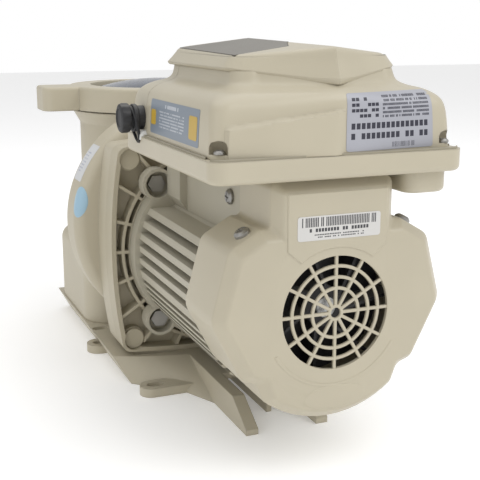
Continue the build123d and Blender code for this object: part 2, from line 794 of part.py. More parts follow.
ball_r = (race_r - shaft_r) / 4
ball_ring = (shaft_r + race_r) / 2
race_wall = (race_r - shaft_r) * 0.3
bearings = (y_rear_bearing, y_front_bearing)
with BuildPart() as bearing_outer_races:
    for rear in bearings:
        with BuildSketch(station(rear + race_w)):
            Circle(race_r)
            Circle(race_r - race_wall, mode=Mode.SUBTRACT)
        extrude(amount=race_w)
    for rear in bearings:
        with BuildSketch(Plane.YZ):
            with Locations((rear + race_w / 2, shaft_z + ball_ring)):
                Circle(ball_r + 0.05)
        revolve(axis=Axis((0, 0, shaft_z), (0, 1, 0)), mode=Mode.SUBTRACT)
bearing_outer_races.part.label = "bearing_outer_races"
export_step(bearing_outer_races.part, "parts/bearing_outer_races.step")

with BuildPart() as bearing_inner_races:
    for rear in bearings:
        with BuildSketch(station(rear + race_w)):
            Circle(shaft_r + race_wall)
            Circle(shaft_r, mode=Mode.SUBTRACT)
        extrude(amount=race_w)
    for rear in bearings:
        with BuildSketch(Plane.YZ):
            with Locations((rear + race_w / 2, shaft_z + ball_ring)):
                Circle(ball_r + 0.05)
        revolve(axis=Axis((0, 0, shaft_z), (0, 1, 0)), mode=Mode.SUBTRACT)
bearing_inner_races.part.label = "bearing_inner_races"
export_step(bearing_inner_races.part, "parts/bearing_inner_races.step")

with BuildPart() as bearing_balls:
    for rear in bearings:
        with Locations(station(rear + race_w / 2)):
            with PolarLocations(ball_ring, 9):
                Sphere(ball_r)
bearing_balls.part.label = "bearing_balls"
export_step(bearing_balls.part, "parts/bearing_balls.step")

with BuildPart() as rear_bearing_bracket:
    with BuildSketch(station(y_cover + 8)):
        Circle(bore_r - fit_gap)
    extrude(amount=8)
    with BuildSketch(station(y_rear_bearing + race_w)):
        Circle(race_r + 5)
    extrude(amount=race_w + 4)
    with BuildSketch(station(y_rear_bearing + race_w)):
        Circle(race_r)
    extrude(amount=race_w, mode=Mode.SUBTRACT)
    with BuildSketch(station(y_rear_bearing + race_w)):
        Circle(shaft_r + 2)
    extrude(amount=2 * race_w, mode=Mode.SUBTRACT)
    with BuildSketch(station(y_cover + 8)):
        with PolarLocations(44, 6):
            Circle(7)
    extrude(amount=8, mode=Mode.SUBTRACT)
rear_bearing_bracket.part.label = "rear_bearing_bracket"
export_step(rear_bearing_bracket.part, "parts/rear_bearing_bracket.step")

# ---------------------------------------------------------------- cooling fan and fan cover
fan_l = 24
blade_count = 7
with BuildPart() as cooling_fan:
    with BuildSketch(station(y_grille + 18 + fan_l)):
        Circle(16)
        with PolarLocations(0, blade_count):
            with Locations((fan_r / 2 + 6, 0)):
                Rectangle(fan_r - 12, 2.5, rotation=12)
        Circle(fan_r, mode=Mode.INTERSECT)
        Circle(nose_r, mode=Mode.SUBTRACT)
    extrude(amount=fan_l)
    with BuildSketch(station(y_grille + 18 + fan_l)):
        Circle(fan_r)
        Circle(nose_r, mode=Mode.SUBTRACT)
    extrude(amount=2.5)
cooling_fan.part.label = "cooling_fan"
export_step(cooling_fan.part, "parts/cooling_fan.step")

grille_r = 43.8
spoke_w = 2.5
grille_rings = (36, 27.7, 19)
hub_hole = 3.1
step_back = 8           # bevel round the rear face
with BuildPart() as fan_cover:
    with BuildSketch(station(y_cover)):
        add(cover_face.sketch)
    extrude(amount=cover_l - step_back)
    with BuildSketch(station(y_grille + step_back)):
        add(cover_face.sketch)
    extrude(amount=step_back, taper=38)
    with BuildSketch(station(y_cover)):
        add(cover_face.sketch)
        offset(amount=-wall)
    extrude(amount=cover_l - step_back - 2, mode=Mode.SUBTRACT)
    with BuildSketch(station(y_grille + step_back + 2)):
        add(cover_face.sketch)
        offset(amount=-step_back - wall)
    extrude(amount=step_back + 2 - wall, mode=Mode.SUBTRACT)
    with BuildSketch(station(y_grille + wall)):
        Circle(grille_r)
    extrude(amount=2 * wall, mode=Mode.SUBTRACT)
    with BuildSketch(station(y_grille + wall)):
        for ring in grille_rings:
            Circle(ring + spoke_w / 2)
            Circle(ring - spoke_w / 2, mode=Mode.SUBTRACT)
        with PolarLocations((grille_r + 6) / 2, 12, start_angle=0):
            Rectangle(grille_r - 4, spoke_w)
        Circle(5.5)
        Circle(hub_hole, mode=Mode.SUBTRACT)
    extrude(amount=wall)
fan_cover.part.label = "fan_cover"
export_step(fan_cover.part, "parts/fan_cover.step")

shoulder = ((58, 66), (82, 52))     # sloping shoulder of the fan cover
shoulder_share = 0.35               # how far down it the screws sit
shoulder_x = shoulder[0][0] + shoulder_share * (shoulder[1][0] - shoulder[0][0])
shoulder_z = shoulder[0][1] + shoulder_share * (shoulder[1][1] - shoulder[0][1])
with BuildPart() as fan_cover_screws:
    for side in (-1, 1):
        with BuildSketch(Plane(origin=(side * pedestal_w, y_cover + 18, shaft_z + 77), x_dir=(0, 1, 0),
                               z_dir=(side, 0, 0))):
            Circle(head_r)
        extrude(amount=2.5)
        with BuildSketch(Plane(origin=(side * shoulder_x, y_grille + 21, shaft_z + shoulder_z),
                               x_dir=(0, 1, 0), z_dir=(side * 14, 0, 24))):
            Circle(head_r)
        extrude(amount=2.5)
fan_cover_screws.part.label = "fan_cover_screws"
export_step(fan_cover_screws.part, "parts/fan_cover_screws.step")

# ---------------------------------------------------------------- drive tray
# Shallow box on the pedestal, with screw posts in its corners and a pocket under its right side.
tray_wall = 4
post_r = 9
post_x = tray_half - 11
post_ys = (y_tray + 15, y_tray + tray_l - 12)
pocket_in = 57
pocket_out = tray_half - 6
pocket_l = 130
pocket_d = 17
y_tray_mid = y_tray + tray_l / 2
y_tray_front = y_tray + tray_l
post_spots = [(x, y) for x in (-post_x, post_x) for y in post_ys]
y_pocket = y_tray + 10 + pocket_l / 2
x_pocket = (pocket_in + pocket_out) / 2
with BuildPart() as drive_tray:
    with BuildSketch(Plane.XY.offset(z_tray)):
        with Locations((0, y_tray_mid)):
            RectangleRounded(2 * tray_half, tray_l, 12)
    extrude(amount=tray_h)
    fillet(drive_tray.edges().group_by(Axis.Z)[0], 4)
    with BuildSketch(Plane.XY.offset(z_tray - pocket_d)):
        with Locations((x_pocket, y_pocket)):
            RectangleRounded(pocket_out - pocket_in, pocket_l, 12)
    extrude(amount=pocket_d + tray_wall)
    fillet(drive_tray.edges().group_by(Axis.Z)[0], 4)
    with BuildSketch(Plane.XY.offset(z_tray + tray_wall)):
        with Locations((0, y_tray_mid)):
            RectangleRounded(2 * (tray_half - tray_wall), tray_l - 2 * tray_wall, 8)
        with Locations(*post_spots):
            Circle(post_r, mode=Mode.SUBTRACT)
    extrude(amount=tray_h, mode=Mode.SUBTRACT)
    with BuildSketch(Plane.XY.offset(z_tray - pocket_d + tray_wall)):
        with Locations((x_pocket, y_pocket)):
            RectangleRounded(pocket_out - pocket_in - 2 * tray_wall, pocket_l - 2 * tray_wall, 8)
    extrude(amount=pocket_d + 1, mode=Mode.SUBTRACT)
    with BuildSketch(Plane.XY.offset(z_tray)):
        with Locations((0, y_cover + 70)):
            Rectangle(50, 60)
    extrude(amount=tray_wall, mode=Mode.SUBTRACT)
    with BuildSketch(Plane.XY.offset(z_rim)):
        with Locations(*post_spots):
            Circle(screw_r + 0.2)
    extrude(amount=-14, mode=Mode.SUBTRACT)
drive_tray.part.label = "drive_tray"
export_step(drive_tray.part, "parts/drive_tray.step")

tray_gasket_t = 1.5
with BuildPart() as drive_gasket:
    with BuildSketch(Plane.XY.offset(z_rim)):
        with Locations((0, y_tray_mid)):
            RectangleRounded(2 * tray_half - 4, tray_l - 4, 10)
            RectangleRounded(2 * tray_half - 2 * tray_wall, tray_l - 2 * tray_wall, 8, mode=Mode.SUBTRACT)
        with Locations(*post_spots):
            Circle(post_r + 1, mode=Mode.SUBTRACT)
    extrude(amount=tray_gasket_t)
drive_gasket.part.label = "drive_gasket"
export_step(drive_gasket.part, "parts/drive_gasket.step")

# ---------------------------------------------------------------- drive cover and wiring cover
# Stepped shell over the tray. Each level: height, half width, set-back of the rear corners,
# how far the rear face stands out at its middle, and set-back at the front.
shell_levels = ((0, tray_half - 4.5, 12, 8, 4), (27, tray_half - 7, 16, 10, 6),
                (40, tray_half - 18, 26, 16, 12), (46.5, (tray_half + keypad_half) / 2 - 7, 36, 24, 18),
                (56, keypad_half + 2, 46, 32, 26))
shell_wall = 3.5
corner_cut = 12
y_seam = y_tray + seam_y
z_shell = z_rim + tray_gasket_t
z_deck = z_shell + shell_levels[-1][0]
lug_t = 2               # screw lugs at the foot of the shell


def vee_outline(half, rear, vee, front, cut):
    """Plan corners of a shell with a square front and a shallow vee at the rear."""
    right = [(half, front), (half, rear + cut), (half - cut, rear)]
    return right + [(0, rear - vee)] + [(-x, y) for x, y in reversed(right)]


with BuildPart() as shell_outside:
    for height, half, back, vee, front_back in shell_levels:
        with BuildSketch(Plane.XY.offset(z_shell + height)):
            with BuildLine():
                Polyline(*vee_outline(half, y_tray + back, vee, y_tray_front - front_back, corner_cut),
                         close=True)
            make_face()
    loft(ruled=True)
with BuildPart() as shell_inside:
    for height, half, back, vee, front_back in shell_levels:
        drop = shell_wall if height else 0
        with BuildSketch(Plane.XY.offset(z_shell + height - drop)):
            with BuildLine():
                Polyline(*vee_outline(half - shell_wall, y_tray + back + shell_wall, vee,
                                      y_tray_front - front_back - shell_wall, corner_cut - 2), close=True)
            make_face()
    loft(ruled=True)
    with BuildSketch(Plane.XY.offset(z_shell)):
        with Locations(*post_spots):
            Circle(post_r + shell_wall)
    extrude(amount=shell_levels[-1][0], mode=Mode.SUBTRACT)
    with BuildSketch(Plane.XZ.offset(-y_seam - 1.5)):
        Rectangle(4 * tray_half, 4 * z_deck)
    extrude(amount=-3, both=False, mode=Mode.SUBTRACT)

z_port = shaft_z + 133
y_port = y_tray + 178
port_out = 10
port_bore = 7
x_port = tray_half - 9
port_l = 9
with BuildPart() as drive_cover:
    add(shell_outside.part)
    add(shell_inside.part, mode=Mode.SUBTRACT)
    with BuildSketch(Plane.XY.offset(z_shell + lug_t)):
        with Locations(*post_spots):
            Circle(post_r)
    extrude(amount=shell_levels[-1][0], mode=Mode.SUBTRACT)
    with BuildSketch(Plane.XY.offset(z_shell)):
        with Locations(*post_spots):
            Circle(screw_r + 0.2)
    extrude(amount=lug_t, mode=Mode.SUBTRACT)
    with BuildSketch(Plane.XY.offset(z_deck - shell_wall - 1)):
        with Locations((-20, y_tray + 130)):
            Rectangle(30, 12)
    extrude(amount=shell_wall + 2, mode=Mode.SUBTRACT)
    split(bisect_by=Plane.XZ.offset(-y_seam), keep=Keep.TOP)
drive_cover.part.label = "drive_cover"
export_step(drive_cover.part, "parts/drive_cover.step")

with BuildPart() as wiring_cover:
    add(shell_outside.part)
    add(shell_inside.part, mode=Mode.SUBTRACT)
    with BuildSketch(Plane.XY.offset(z_shell + lug_t)):
        with Locations(*post_spots):
            Circle(post_r)
    extrude(amount=shell_levels[-1][0], mode=Mode.SUBTRACT)
    with BuildSketch(Plane.XY.offset(z_shell)):
        with Locations(*post_spots):
            Circle(screw_r + 0.2)
    extrude(amount=lug_t, mode=Mode.SUBTRACT)
    with BuildSketch(Plane(origin=(-tray_half, y_port, z_port), x_dir=(0, 1, 0), z_dir=(1, 0, 0))):
        Circle(port_out)
    extrude(amount=20, mode=Mode.SUBTRACT)
    split(bisect_by=Plane.XZ.offset(-y_seam - 0.6), keep=Keep.BOTTOM)
wiring_cover.part.label = "wiring_cover"
export_step(wiring_cover.part, "parts/wiring_cover.step")

for name, spot_y in (("drive_cover_screws", post_ys[0]), ("wiring_cover_screws", post_ys[1])):
    with BuildPart() as cover_fixings:
        with BuildSketch(Plane.XY.offset(z_shell + lug_t)):
            with Locations((-post_x, spot_y), (post_x, spot_y)):
                Circle(head_r)
        extrude(amount=3)
        with BuildSketch(Plane.XY.offset(z_shell + lug_t)):
            with Locations((-post_x, spot_y), (post_x, spot_y)):
                Circle(screw_r)
        extrude(amount=-14)
    cover_fixings.part.label = name
    export_step(cover_fixings.part, f"parts/{name}.step")

# ---------------------------------------------------------------- cable port with its plug
with BuildPart() as port_fitting:
    with BuildSketch(Plane(origin=(-x_port, y_port, z_port), x_dir=(0, 1, 0), z_dir=(-1, 0, 0))):
        Circle(port_out)
        Circle(port_bore, mode=Mode.SUBTRACT)
    extrude(amount=port_l)
port_fitting.part.label = "port_fitting"
export_step(port_fitting.part, "parts/port_fitting.step")

x_cap = x_port + port_l + gap
with BuildPart() as port_plug:
    with BuildSketch(Plane(origin=(0, y_port, z_port), x_dir=(-1, 0, 0), z_dir=(0, 1, 0))):
        with BuildLine():
            Polyline((x_port, 0), (x_port, port_bore - gap), (x_cap, port_bore - gap), (x_cap, 11.5),
                     (x_cap + 4, 11.5), (x_cap + 5.5, 8.5), (x_cap + 7, 11.5), (x_cap + 13, 12.5),
                     (x_cap + 15, 10), (x_cap + 15, 0), close=True)
        make_face()
    revolve(axis=Axis((0, y_port, z_port), (1, 0, 0)))
port_plug.part.label = "port_plug"
export_step(port_plug.part, "parts/port_plug.step")

# ---------------------------------------------------------------- electronics inside the drive
board_t = 1.6
z_board = z_tray + 14
with BuildPart() as circuit_board:
    with BuildSketch(Plane.XY.offset(z_board)):
        with Locations((0, y_tray + 95)):
            Rectangle(140, 120)
    extrude(amount=board_t)
circuit_board.part.label = "circuit_board"
export_step(circuit_board.part, "parts/circuit_board.step")

with BuildPart() as board_pillars:
    with BuildSketch(Plane.XY.offset(z_tray + tray_wall)):
        with Locations((0, y_tray + 95)):
            with GridLocations(84, 108, 2, 2):
                Circle(4)
    extrude(amount=z_board - z_tray - tray_wall)
board_pillars.part.label = "board_pillars"
export_step(board_pillars.part, "parts/board_pillars.step")

with BuildPart() as capacitors:
    with BuildSketch(Plane.XY.offset(z_board + board_t)):
        with Locations((20, y_tray + 95)):
            with GridLocations(26, 30, 3, 2):
                Circle(11)
    extrude(amount=25)
capacitors.part.label = "capacitors"
export_step(capacitors.part, "parts/capacitors.step")

with BuildPart() as terminal_block:
    with BuildSketch(Plane.XY.offset(z_tray + tray_wall)):
        with Locations((0, y_seam + 20)):
            Rectangle(70, 16)
    extrude(amount=14)
    with BuildSketch(Plane.XY.offset(z_tray + tray_wall + 14)):
        with Locations((0, y_seam + 20)):
            with GridLocations(16, 1, 4, 1):
                Circle(3.5)
    extrude(amount=-6, mode=Mode.SUBTRACT)
terminal_block.part.label = "terminal_block"
export_step(terminal_block.part, "parts/terminal_block.step")

# ---------------------------------------------------------------- keypad housing
# Low roof with a ridge along the shaft line; the left slope is closed by a flip cover.
ridge_z = shaft_z + 197         # ridge at its front end
slope_x = 0.117
slope_y = 0.022
y_roof = y_tray_front - 33      # front end of the roof
keypad_rear = y_tray + 50
keypad_vee = 32
flip_t = 2.5
left_slope = Plane(origin=(0, y_roof, ridge_z), x_dir=(1, 0, slope_x), z_dir=(-slope_x, -slope_y, 1))
right_slope = Plane(origin=(0, y_roof, ridge_z), x_dir=(1, 0, -slope_x), z_dir=(slope_x, -slope_y, 1))
flip_points = [(-keypad_half + 3.5, y_roof - 4), (0.5, y_roof - 2), (0.5, y_roof - 82), (-15, y_roof - 117),
               (-keypad_half + 3.5, y_roof - 126)]
panel_z = z_deck + 5            # top of the keypad panel
panel_t = 2
barrel_r = 1.8
hinge_x = 1.2
hinge_drop = 1.6
hinge_dir = (0, 1, slope_y)
barrel_l = 80
barrel_rear = 82                # rear end of the barrel behind the front of the roof
barrel_plane = Plane(origin=(hinge_x, y_roof - barrel_rear, ridge_z - hinge_drop - barrel_rear * slope_y),
                     z_dir=hinge_dir)
groove_rear = 6                 # groove past the barrel, where the slanted edge sweeps
groove_front = 2.5
groove_r = barrel_r + 0.8

with BuildPart() as flip_rebate:
    with BuildSketch(Plane.XY.offset(z_deck)):
        with BuildLine():
            Polyline(*flip_points, close=True)
        make_face()
        offset(amount=gap, kind=Kind.INTERSECTION)
    extrude(amount=40)
    split(bisect_by=left_slope.offset(-flip_t - gap), keep=Keep.TOP)

with BuildPart() as keypad_housing:
    with BuildSketch(Plane.XY.offset(z_deck)):
        with BuildLine():
            Polyline(*vee_outline(keypad_half, keypad_rear, keypad_vee, y_roof + 5, 8), close=True)
        make_face()
    extrude(amount=40)
    split(bisect_by=left_slope, keep=Keep.BOTTOM)
    split(bisect_by=right_slope, keep=Keep.BOTTOM)
    add(flip_rebate.part, mode=Mode.SUBTRACT)
    # well for the panel, and the ledge it lies on
    for inset, floor in ((4, panel_z - panel_t), (8, z_deck)):
        with BuildSketch(Plane.XY.offset(floor)):
            with BuildLine():
                Polyline(*flip_points, close=True)
            make_face()
            offset(amount=-inset, kind=Kind.INTERSECTION)
        extrude(amount=40, mode=Mode.SUBTRACT)
    # hollow under the right slope
    with BuildSketch(Plane.XY.offset(z_deck)):
        with Locations(((keypad_half + 4) / 2, (keypad_rear + y_roof) / 2 + 2)):
            Rectangle(keypad_half - 12, y_roof - keypad_rear - 12)
    extrude(amount=6, mode=Mode.SUBTRACT)
    # groove for the hinge barrel
    with BuildSketch(barrel_plane.offset(-groove_rear)):
        Circle(groove_r)
    extrude(amount=groove_rear + barrel_l + groove_front, mode=Mode.SUBTRACT)
keypad_housing.part.label = "keypad_housing"
export_step(keypad_housing.part, "parts/keypad_housing.step")

with BuildPart() as keypad_cover:
    with BuildSketch(Plane.XY.offset(z_deck)):
        with BuildLine():
            Polyline(*flip_points, close=True)
        make_face()
    extrude(amount=40)
    split(bisect_by=left_slope, keep=Keep.BOTTOM)
    split(bisect_by=left_slope.offset(-flip_t), keep=Keep.TOP)
    with BuildSketch(barrel_plane):
        Circle(barrel_r)
    extrude(amount=barrel_l)
keypad_cover.part.label = "keypad_cover"
export_step(keypad_cover.part, "parts/keypad_cover.step")

button_spots = [("speed_button_1", -48.5, 84), ("speed_button_2", -37.5, 84), ("speed_button_3", -26.5, 84),
                ("speed_button_4", -15.5, 84), ("menu_button", -46, 105), ("start_button", -27, 105)]
button_half = 4
button_up = 2
display_spot = (-30, y_roof - 42)
display_size = (42, 24)
with BuildPart() as keypad_panel:
    with BuildSketch(Plane.XY.offset(panel_z - panel_t)):
        with BuildLine():
            Polyline(*flip_points, close=True)
        make_face()
        offset(amount=-4 - fit_gap, kind=Kind.INTERSECTION)
    extrude(amount=panel_t)
    with BuildSketch(Plane.XY.offset(panel_z)):
        with Locations(*[(x, y_roof - back) for _, x, back in button_spots]):
            Rectangle(2 * (button_half + gap), 2 * (button_half + gap))
        with Locations(display_spot):
            Rectangle(*display_size)
    extrude(amount=-panel_t, mode=Mode.SUBTRACT)
keypad_panel.part.label = "keypad_panel"
export_step(keypad_panel.part, "parts/keypad_panel.step")

with BuildPart() as keypad_display:
    with BuildSketch(Plane.XY.offset(panel_z - panel_t)):
        with Locations(display_spot):
            Rectangle(*display_size)
    extrude(amount=panel_t + 0.8)
    fillet(keypad_display.edges().group_by(Axis.Z)[-1], 0.5)
keypad_display.part.label = "keypad_display"
export_step(keypad_display.part, "parts/keypad_display.step")

for name, button_x, back in button_spots:
    with BuildPart() as button:
        with BuildSketch(Plane.XY.offset(panel_z - panel_t)):
            with Locations((button_x, y_roof - back)):
                Rectangle(2 * button_half, 2 * button_half)
        extrude(amount=panel_t + button_up)
        fillet(button.edges().group_by(Axis.Z)[-1], 0.8)
    button.part.label = name
    export_step(button.part, f"parts/{name}.step")
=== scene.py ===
import math

import bmesh
import bpy
from mathutils import Matrix, Vector
from mathutils.bvhtree import BVHTree


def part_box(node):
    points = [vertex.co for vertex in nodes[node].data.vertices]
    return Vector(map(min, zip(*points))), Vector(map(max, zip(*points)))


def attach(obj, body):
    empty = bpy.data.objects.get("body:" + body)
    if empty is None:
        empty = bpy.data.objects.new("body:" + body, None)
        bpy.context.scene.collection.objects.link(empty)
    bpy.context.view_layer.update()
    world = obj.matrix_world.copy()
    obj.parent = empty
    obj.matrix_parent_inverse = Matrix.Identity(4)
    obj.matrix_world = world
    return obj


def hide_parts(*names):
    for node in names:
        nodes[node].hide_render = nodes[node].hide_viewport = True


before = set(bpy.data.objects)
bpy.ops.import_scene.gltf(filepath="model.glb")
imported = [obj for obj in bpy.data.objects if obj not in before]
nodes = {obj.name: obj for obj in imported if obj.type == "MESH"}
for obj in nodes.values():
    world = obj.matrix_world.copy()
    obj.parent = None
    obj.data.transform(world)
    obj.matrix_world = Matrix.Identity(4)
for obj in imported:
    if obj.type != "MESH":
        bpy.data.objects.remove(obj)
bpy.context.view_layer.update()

# -------------------- camera, floor and light
# A long lens looks slightly down on the fan end from its left, and a pale floor lies under the pump.
# The light is one broad soft source above and right, a weaker one at the left, and a white room.
camera_data = bpy.data.cameras.new("camera")
camera_data.lens = 69.3
camera_data.sensor_width = 36.0
camera_data.clip_end = 50.0
camera = bpy.data.objects.new("camera", camera_data)
camera.location = (-0.3149, -0.8536, 0.335)
camera.rotation_euler = (math.radians(76.9), 0.0, math.radians(-22.35))
bpy.context.collection.objects.link(camera)
bpy.context.scene.camera = camera


def put(tree, kind, **values):
    """New node with its settings and socket values: a socket's label has a capital, or is _ and a number."""
    node = tree.nodes.new(kind)
    for key, value in values.items():
        if key[0] == "_":
            node.inputs[int(key[1:])].default_value = value
        elif key[0].isupper():
            node.inputs[key.replace("_", " ")].default_value = value
        else:
            setattr(node, key, value)
    return node


def wire(tree, *links):
    """Links nodes; each link is (node, output, node, input)."""
    for source, output, target, socket in links:
        tree.links.new(source.outputs[output], target.inputs[socket])


def new_material(name, **values):
    """New material with values on its shader's own sockets; returns it, its tree and its shader."""
    material = bpy.data.materials.new(name)
    material.use_nodes = True
    shader = material.node_tree.nodes["Principled BSDF"]
    for label, value in values.items():
        shader.inputs[label.replace("_", " ")].default_value = value
    return material, material.node_tree, shader


floor_mesh = bpy.data.meshes.new("floor")
floor_half = 6.0
floor_mesh.from_pydata([(x * floor_half, y * floor_half, 0) for x, y in ((-1, -1), (1, -1), (1, 1), (-1, 1))],
                       [], [(0, 1, 2, 3)])
floor = bpy.data.objects.new("floor", floor_mesh)
bpy.context.collection.objects.link(floor)
white = (1, 1, 1, 1)
floor_paint, _, _ = new_material("floor_paint", Base_Color=(0.92, 0.92, 0.92, 1), Roughness=0.7,
                                 Emission_Color=white, Emission_Strength=0.2)
floor_mesh.materials.append(floor_paint)

for name, spot, size, power in (("key", (0.9, -1.3, 1.7), 1.6, 19), ("side", (-1.7, -0.9, 0.9), 1.4, 4),
                                ("top", (0.0, 0.3, 2.0), 2.0, 11)):
    lamp = bpy.data.lights.new(name, "AREA")
    lamp.size = size
    lamp.energy = power
    light = bpy.data.objects.new(name, lamp)
    light.location = spot
    light.rotation_euler = (Vector((0, -0.05, 0.18)) - Vector(spot)).to_track_quat("-Z", "Y").to_euler()
    bpy.context.collection.objects.link(light)
world = bpy.data.worlds.new("room")
world.use_nodes = True
room = world.node_tree.nodes["Background"]
room.inputs["Color"].default_value = white
glow = put(world.node_tree, "ShaderNodeMapRange", To_Min=0.7, To_Max=1.0)
seen = put(world.node_tree, "ShaderNodeLightPath")
wire(world.node_tree, (seen, "Is Camera Ray", glow, "Value"), (glow, "Result", room, "Strength"))
bpy.context.scene.world = world
bpy.context.scene.view_settings.view_transform = "Standard"

# -------------------- base
# The foot is one beige moulding with a fine spark-eroded grain and soft edges. Its corners are
# rounded by a bevel, and the same skin is used again on every other beige moulding.


def new_group(name, inputs, outputs):
    """Empty shader group with named sockets; inputs are (name, type, value)."""
    group = bpy.data.node_groups.new(name, "ShaderNodeTree")
    for label, kind, value in inputs:
        socket = group.interface.new_socket(label, in_out="INPUT", socket_type="NodeSocket" + kind)
        socket.default_value = value
    for label, kind in outputs:
        group.interface.new_socket(label, in_out="OUTPUT", socket_type="NodeSocket" + kind)
    return group, group.nodes.new("NodeGroupInput"), group.nodes.new("NodeGroupOutput")


# Skin of a moulding or casting: clouded colour, pale dust on upward faces (on the fan partly painted glints),
# fine grain.
skin, skin_in, skin_out = new_group(
    "moulded_skin",
    [("Color", "Color", (0.5, 0.45, 0.34, 1)), ("Clouding", "Float", 0.06), ("Grain Scale", "Float", 900.0),
     ("Grain Height", "Float", 0.35), ("Gloss Base", "Float", 0.42), ("Dust", "Float", 0.1)],
    [("Color", "Color"), ("Roughness", "Float"), ("Height", "Float")])
coords = put(skin, "ShaderNodeTexCoord")
cloud = put(skin, "ShaderNodeTexNoise", Scale=14.0, Detail=4.0)
grain = put(skin, "ShaderNodeTexNoise", Detail=2.0)
shade = put(skin, "ShaderNodeMapRange", From_Min=0.3, From_Max=0.7)
spread_low = put(skin, "ShaderNodeMath", operation="SUBTRACT", _0=1.0)
tint = put(skin, "ShaderNodeVectorMath", operation="SCALE")
normal = put(skin, "ShaderNodeNewGeometry")
split_normal = put(skin, "ShaderNodeSeparateXYZ")
# Upward faces turn pale: dust, and on the fan, with its large amount, also painted glints.
upward = put(skin, "ShaderNodeMapRange", From_Min=0.6, From_Max=1.0)
dust_glint_amount = put(skin, "ShaderNodeMath", operation="MULTIPLY")
dust_glint_cloud = put(skin, "ShaderNodeMath", operation="MULTIPLY")
dust_glint_mix = put(skin, "ShaderNodeMix", data_type="RGBA", B=(0.62, 0.6, 0.55, 1))
rough = put(skin, "ShaderNodeMapRange")
rough_high = put(skin, "ShaderNodeMath", _1=0.12)
height = put(skin, "ShaderNodeMath", operation="MULTIPLY")
wire(skin, (coords, "Object", cloud, "Vector"), (coords, "Object", grain, "Vector"),
     (skin_in, "Grain Scale", grain, "Scale"), (cloud, "Fac", shade, "Value"),
     (skin_in, "Clouding", spread_low, 1), (spread_low, 0, shade, "To Min"), (skin_in, "Color", tint, 0),
     (shade, "Result", tint, "Scale"), (normal, "Normal", split_normal, 0),
     (split_normal, "Z", upward, "Value"), (upward, "Result", dust_glint_amount, 0),
     (skin_in, "Dust", dust_glint_amount, 1), (dust_glint_amount, 0, dust_glint_cloud, 0), (cloud, "Fac", dust_glint_cloud, 1),
     (dust_glint_cloud, 0, dust_glint_mix, "Factor"), (tint, 0, dust_glint_mix, "A"), (dust_glint_mix, "Result", skin_out, "Color"),
     (skin_in, "Gloss Base", rough_high, 0), (grain, "Fac", rough, "Value"),
     (skin_in, "Gloss Base", rough, "To Min"), (rough_high, 0, rough, "To Max"),
     (rough, "Result", skin_out, "Roughness"), (grain, "Fac", height, 0),
     (skin_in, "Grain Height", height, 1), (height, 0, skin_out, "Height"))


def skin_material(name, color, edge=0.0, bump=0.08, metallic=0.0, **values):
    """Material of the moulded skin in one colour, with its own socket values and edge softening."""
    material, tree, shader = new_material(name, Metallic=metallic)
    surface = put(tree, "ShaderNodeGroup", node_tree=skin, Color=(*color, 1), **values)
    relief = put(tree, "ShaderNodeBump", Strength=bump, Distance=0.0004)
    wire(tree, (surface, "Color", shader, "Base Color"), (surface, "Roughness", shader, "Roughness"),
         (surface, "Height", relief, "Height"), (relief, "Normal", shader, "Normal"))
    if edge:
        soft = put(tree, "ShaderNodeBevel", samples=4, Radius=edge)
        wire(tree, (soft, "Normal", relief, "Normal"))
    return material


def dress(material, *names):
    """Gives CAD nodes a material."""
    for name in names:
        slots = nodes[name].data.materials
        slots.clear()
        slots.append(material)


beige = (0.475, 0.43, 0.325)
dress(skin_material("base_plastic", beige, edge=0.0018, Dust=0.12), "base")

# -------------------- motor pad
# Black rubber block between the base and the underside of the motor, pressed in place.
rubber = skin_material("rubber", (0.018, 0.018, 0.02), edge=0.001, Grain_Scale=1400.0, Gloss_Base=0.5,
                       Dust=0.25)
dress(rubber, "motor_pad", "lid_oring", "seal_plate_oring", "diffuser_oring")

# -------------------- pump body and seal plate
# Glass-filled moulding in the same beige: volute, strainer pot and ports in one piece, with the
# ribbed seal plate bolted to its rear flange under four round caps.
dress(skin_material("body_plastic", beige, edge=0.0025, Dust=0.12, Clouding=0.05), "pump_body")
dress(skin_material("plate_plastic", (0.44, 0.395, 0.29), edge=0.0009), "seal_plate", "corner_bolt_caps")

# -------------------- impeller, diffuser and drain plugs
# Black glass-filled mouldings: the turned impeller, the ring round it and the two hex plugs.
black_plastic = skin_material("black_plastic", (0.022, 0.022, 0.024), edge=0.0006, Gloss_Base=0.32, Dust=0.1)
dress(black_plastic, "impeller", "diffuser", "pot_drain_plug", "volute_drain_plug")

# -------------------- shaft seal
# Carbon ring on the spinning head, running on a polished ceramic seat.
dress(skin_material("carbon", (0.03, 0.03, 0.032), edge=0.0003, Gloss_Base=0.25), "seal_head")
dress(skin_material("ceramic", (0.78, 0.76, 0.7), edge=0.0003, Gloss_Base=0.15, Clouding=0.02), "seal_seat")

# -------------------- strainer basket, lid and locking ring
# White moulded basket under a smoked clear lid, held down by the beige ring with its two lugs.
basket_plastic = skin_material("basket_plastic", (0.72, 0.72, 0.7), edge=0.0008, Gloss_Base=0.35, Dust=0.0)
dress(skin_material("ring_plastic", beige, edge=0.0025, Gloss_Base=0.4, Dust=0.15), "locking_ring")
dress(basket_plastic, "strainer_basket")
clear_lid = skin_material("clear_lid", (0.2, 0.24, 0.33), edge=0.001, bump=0.02, Gloss_Base=0.06, Dust=0.2)
clear_shader = clear_lid.node_tree.nodes["Principled BSDF"]
clear_shader.inputs["Transmission Weight"].default_value = 0.8
clear_shader.inputs["IOR"].default_value = 1.49
dress(clear_lid, "lid")

# -------------------- motor castings
# The finned housing and front flange are die-cast and sprayed beige, a little greyer than the plastic,
# with the slight orange peel of the paint.
dress(skin_material("cast_paint", (0.43, 0.4, 0.315), edge=0.0009, Grain_Scale=420.0,
                    Grain_Height=0.7, Gloss_Base=0.42, Dust=0.2),
      "motor_housing", "motor_front_flange", "rear_bearing_bracket")

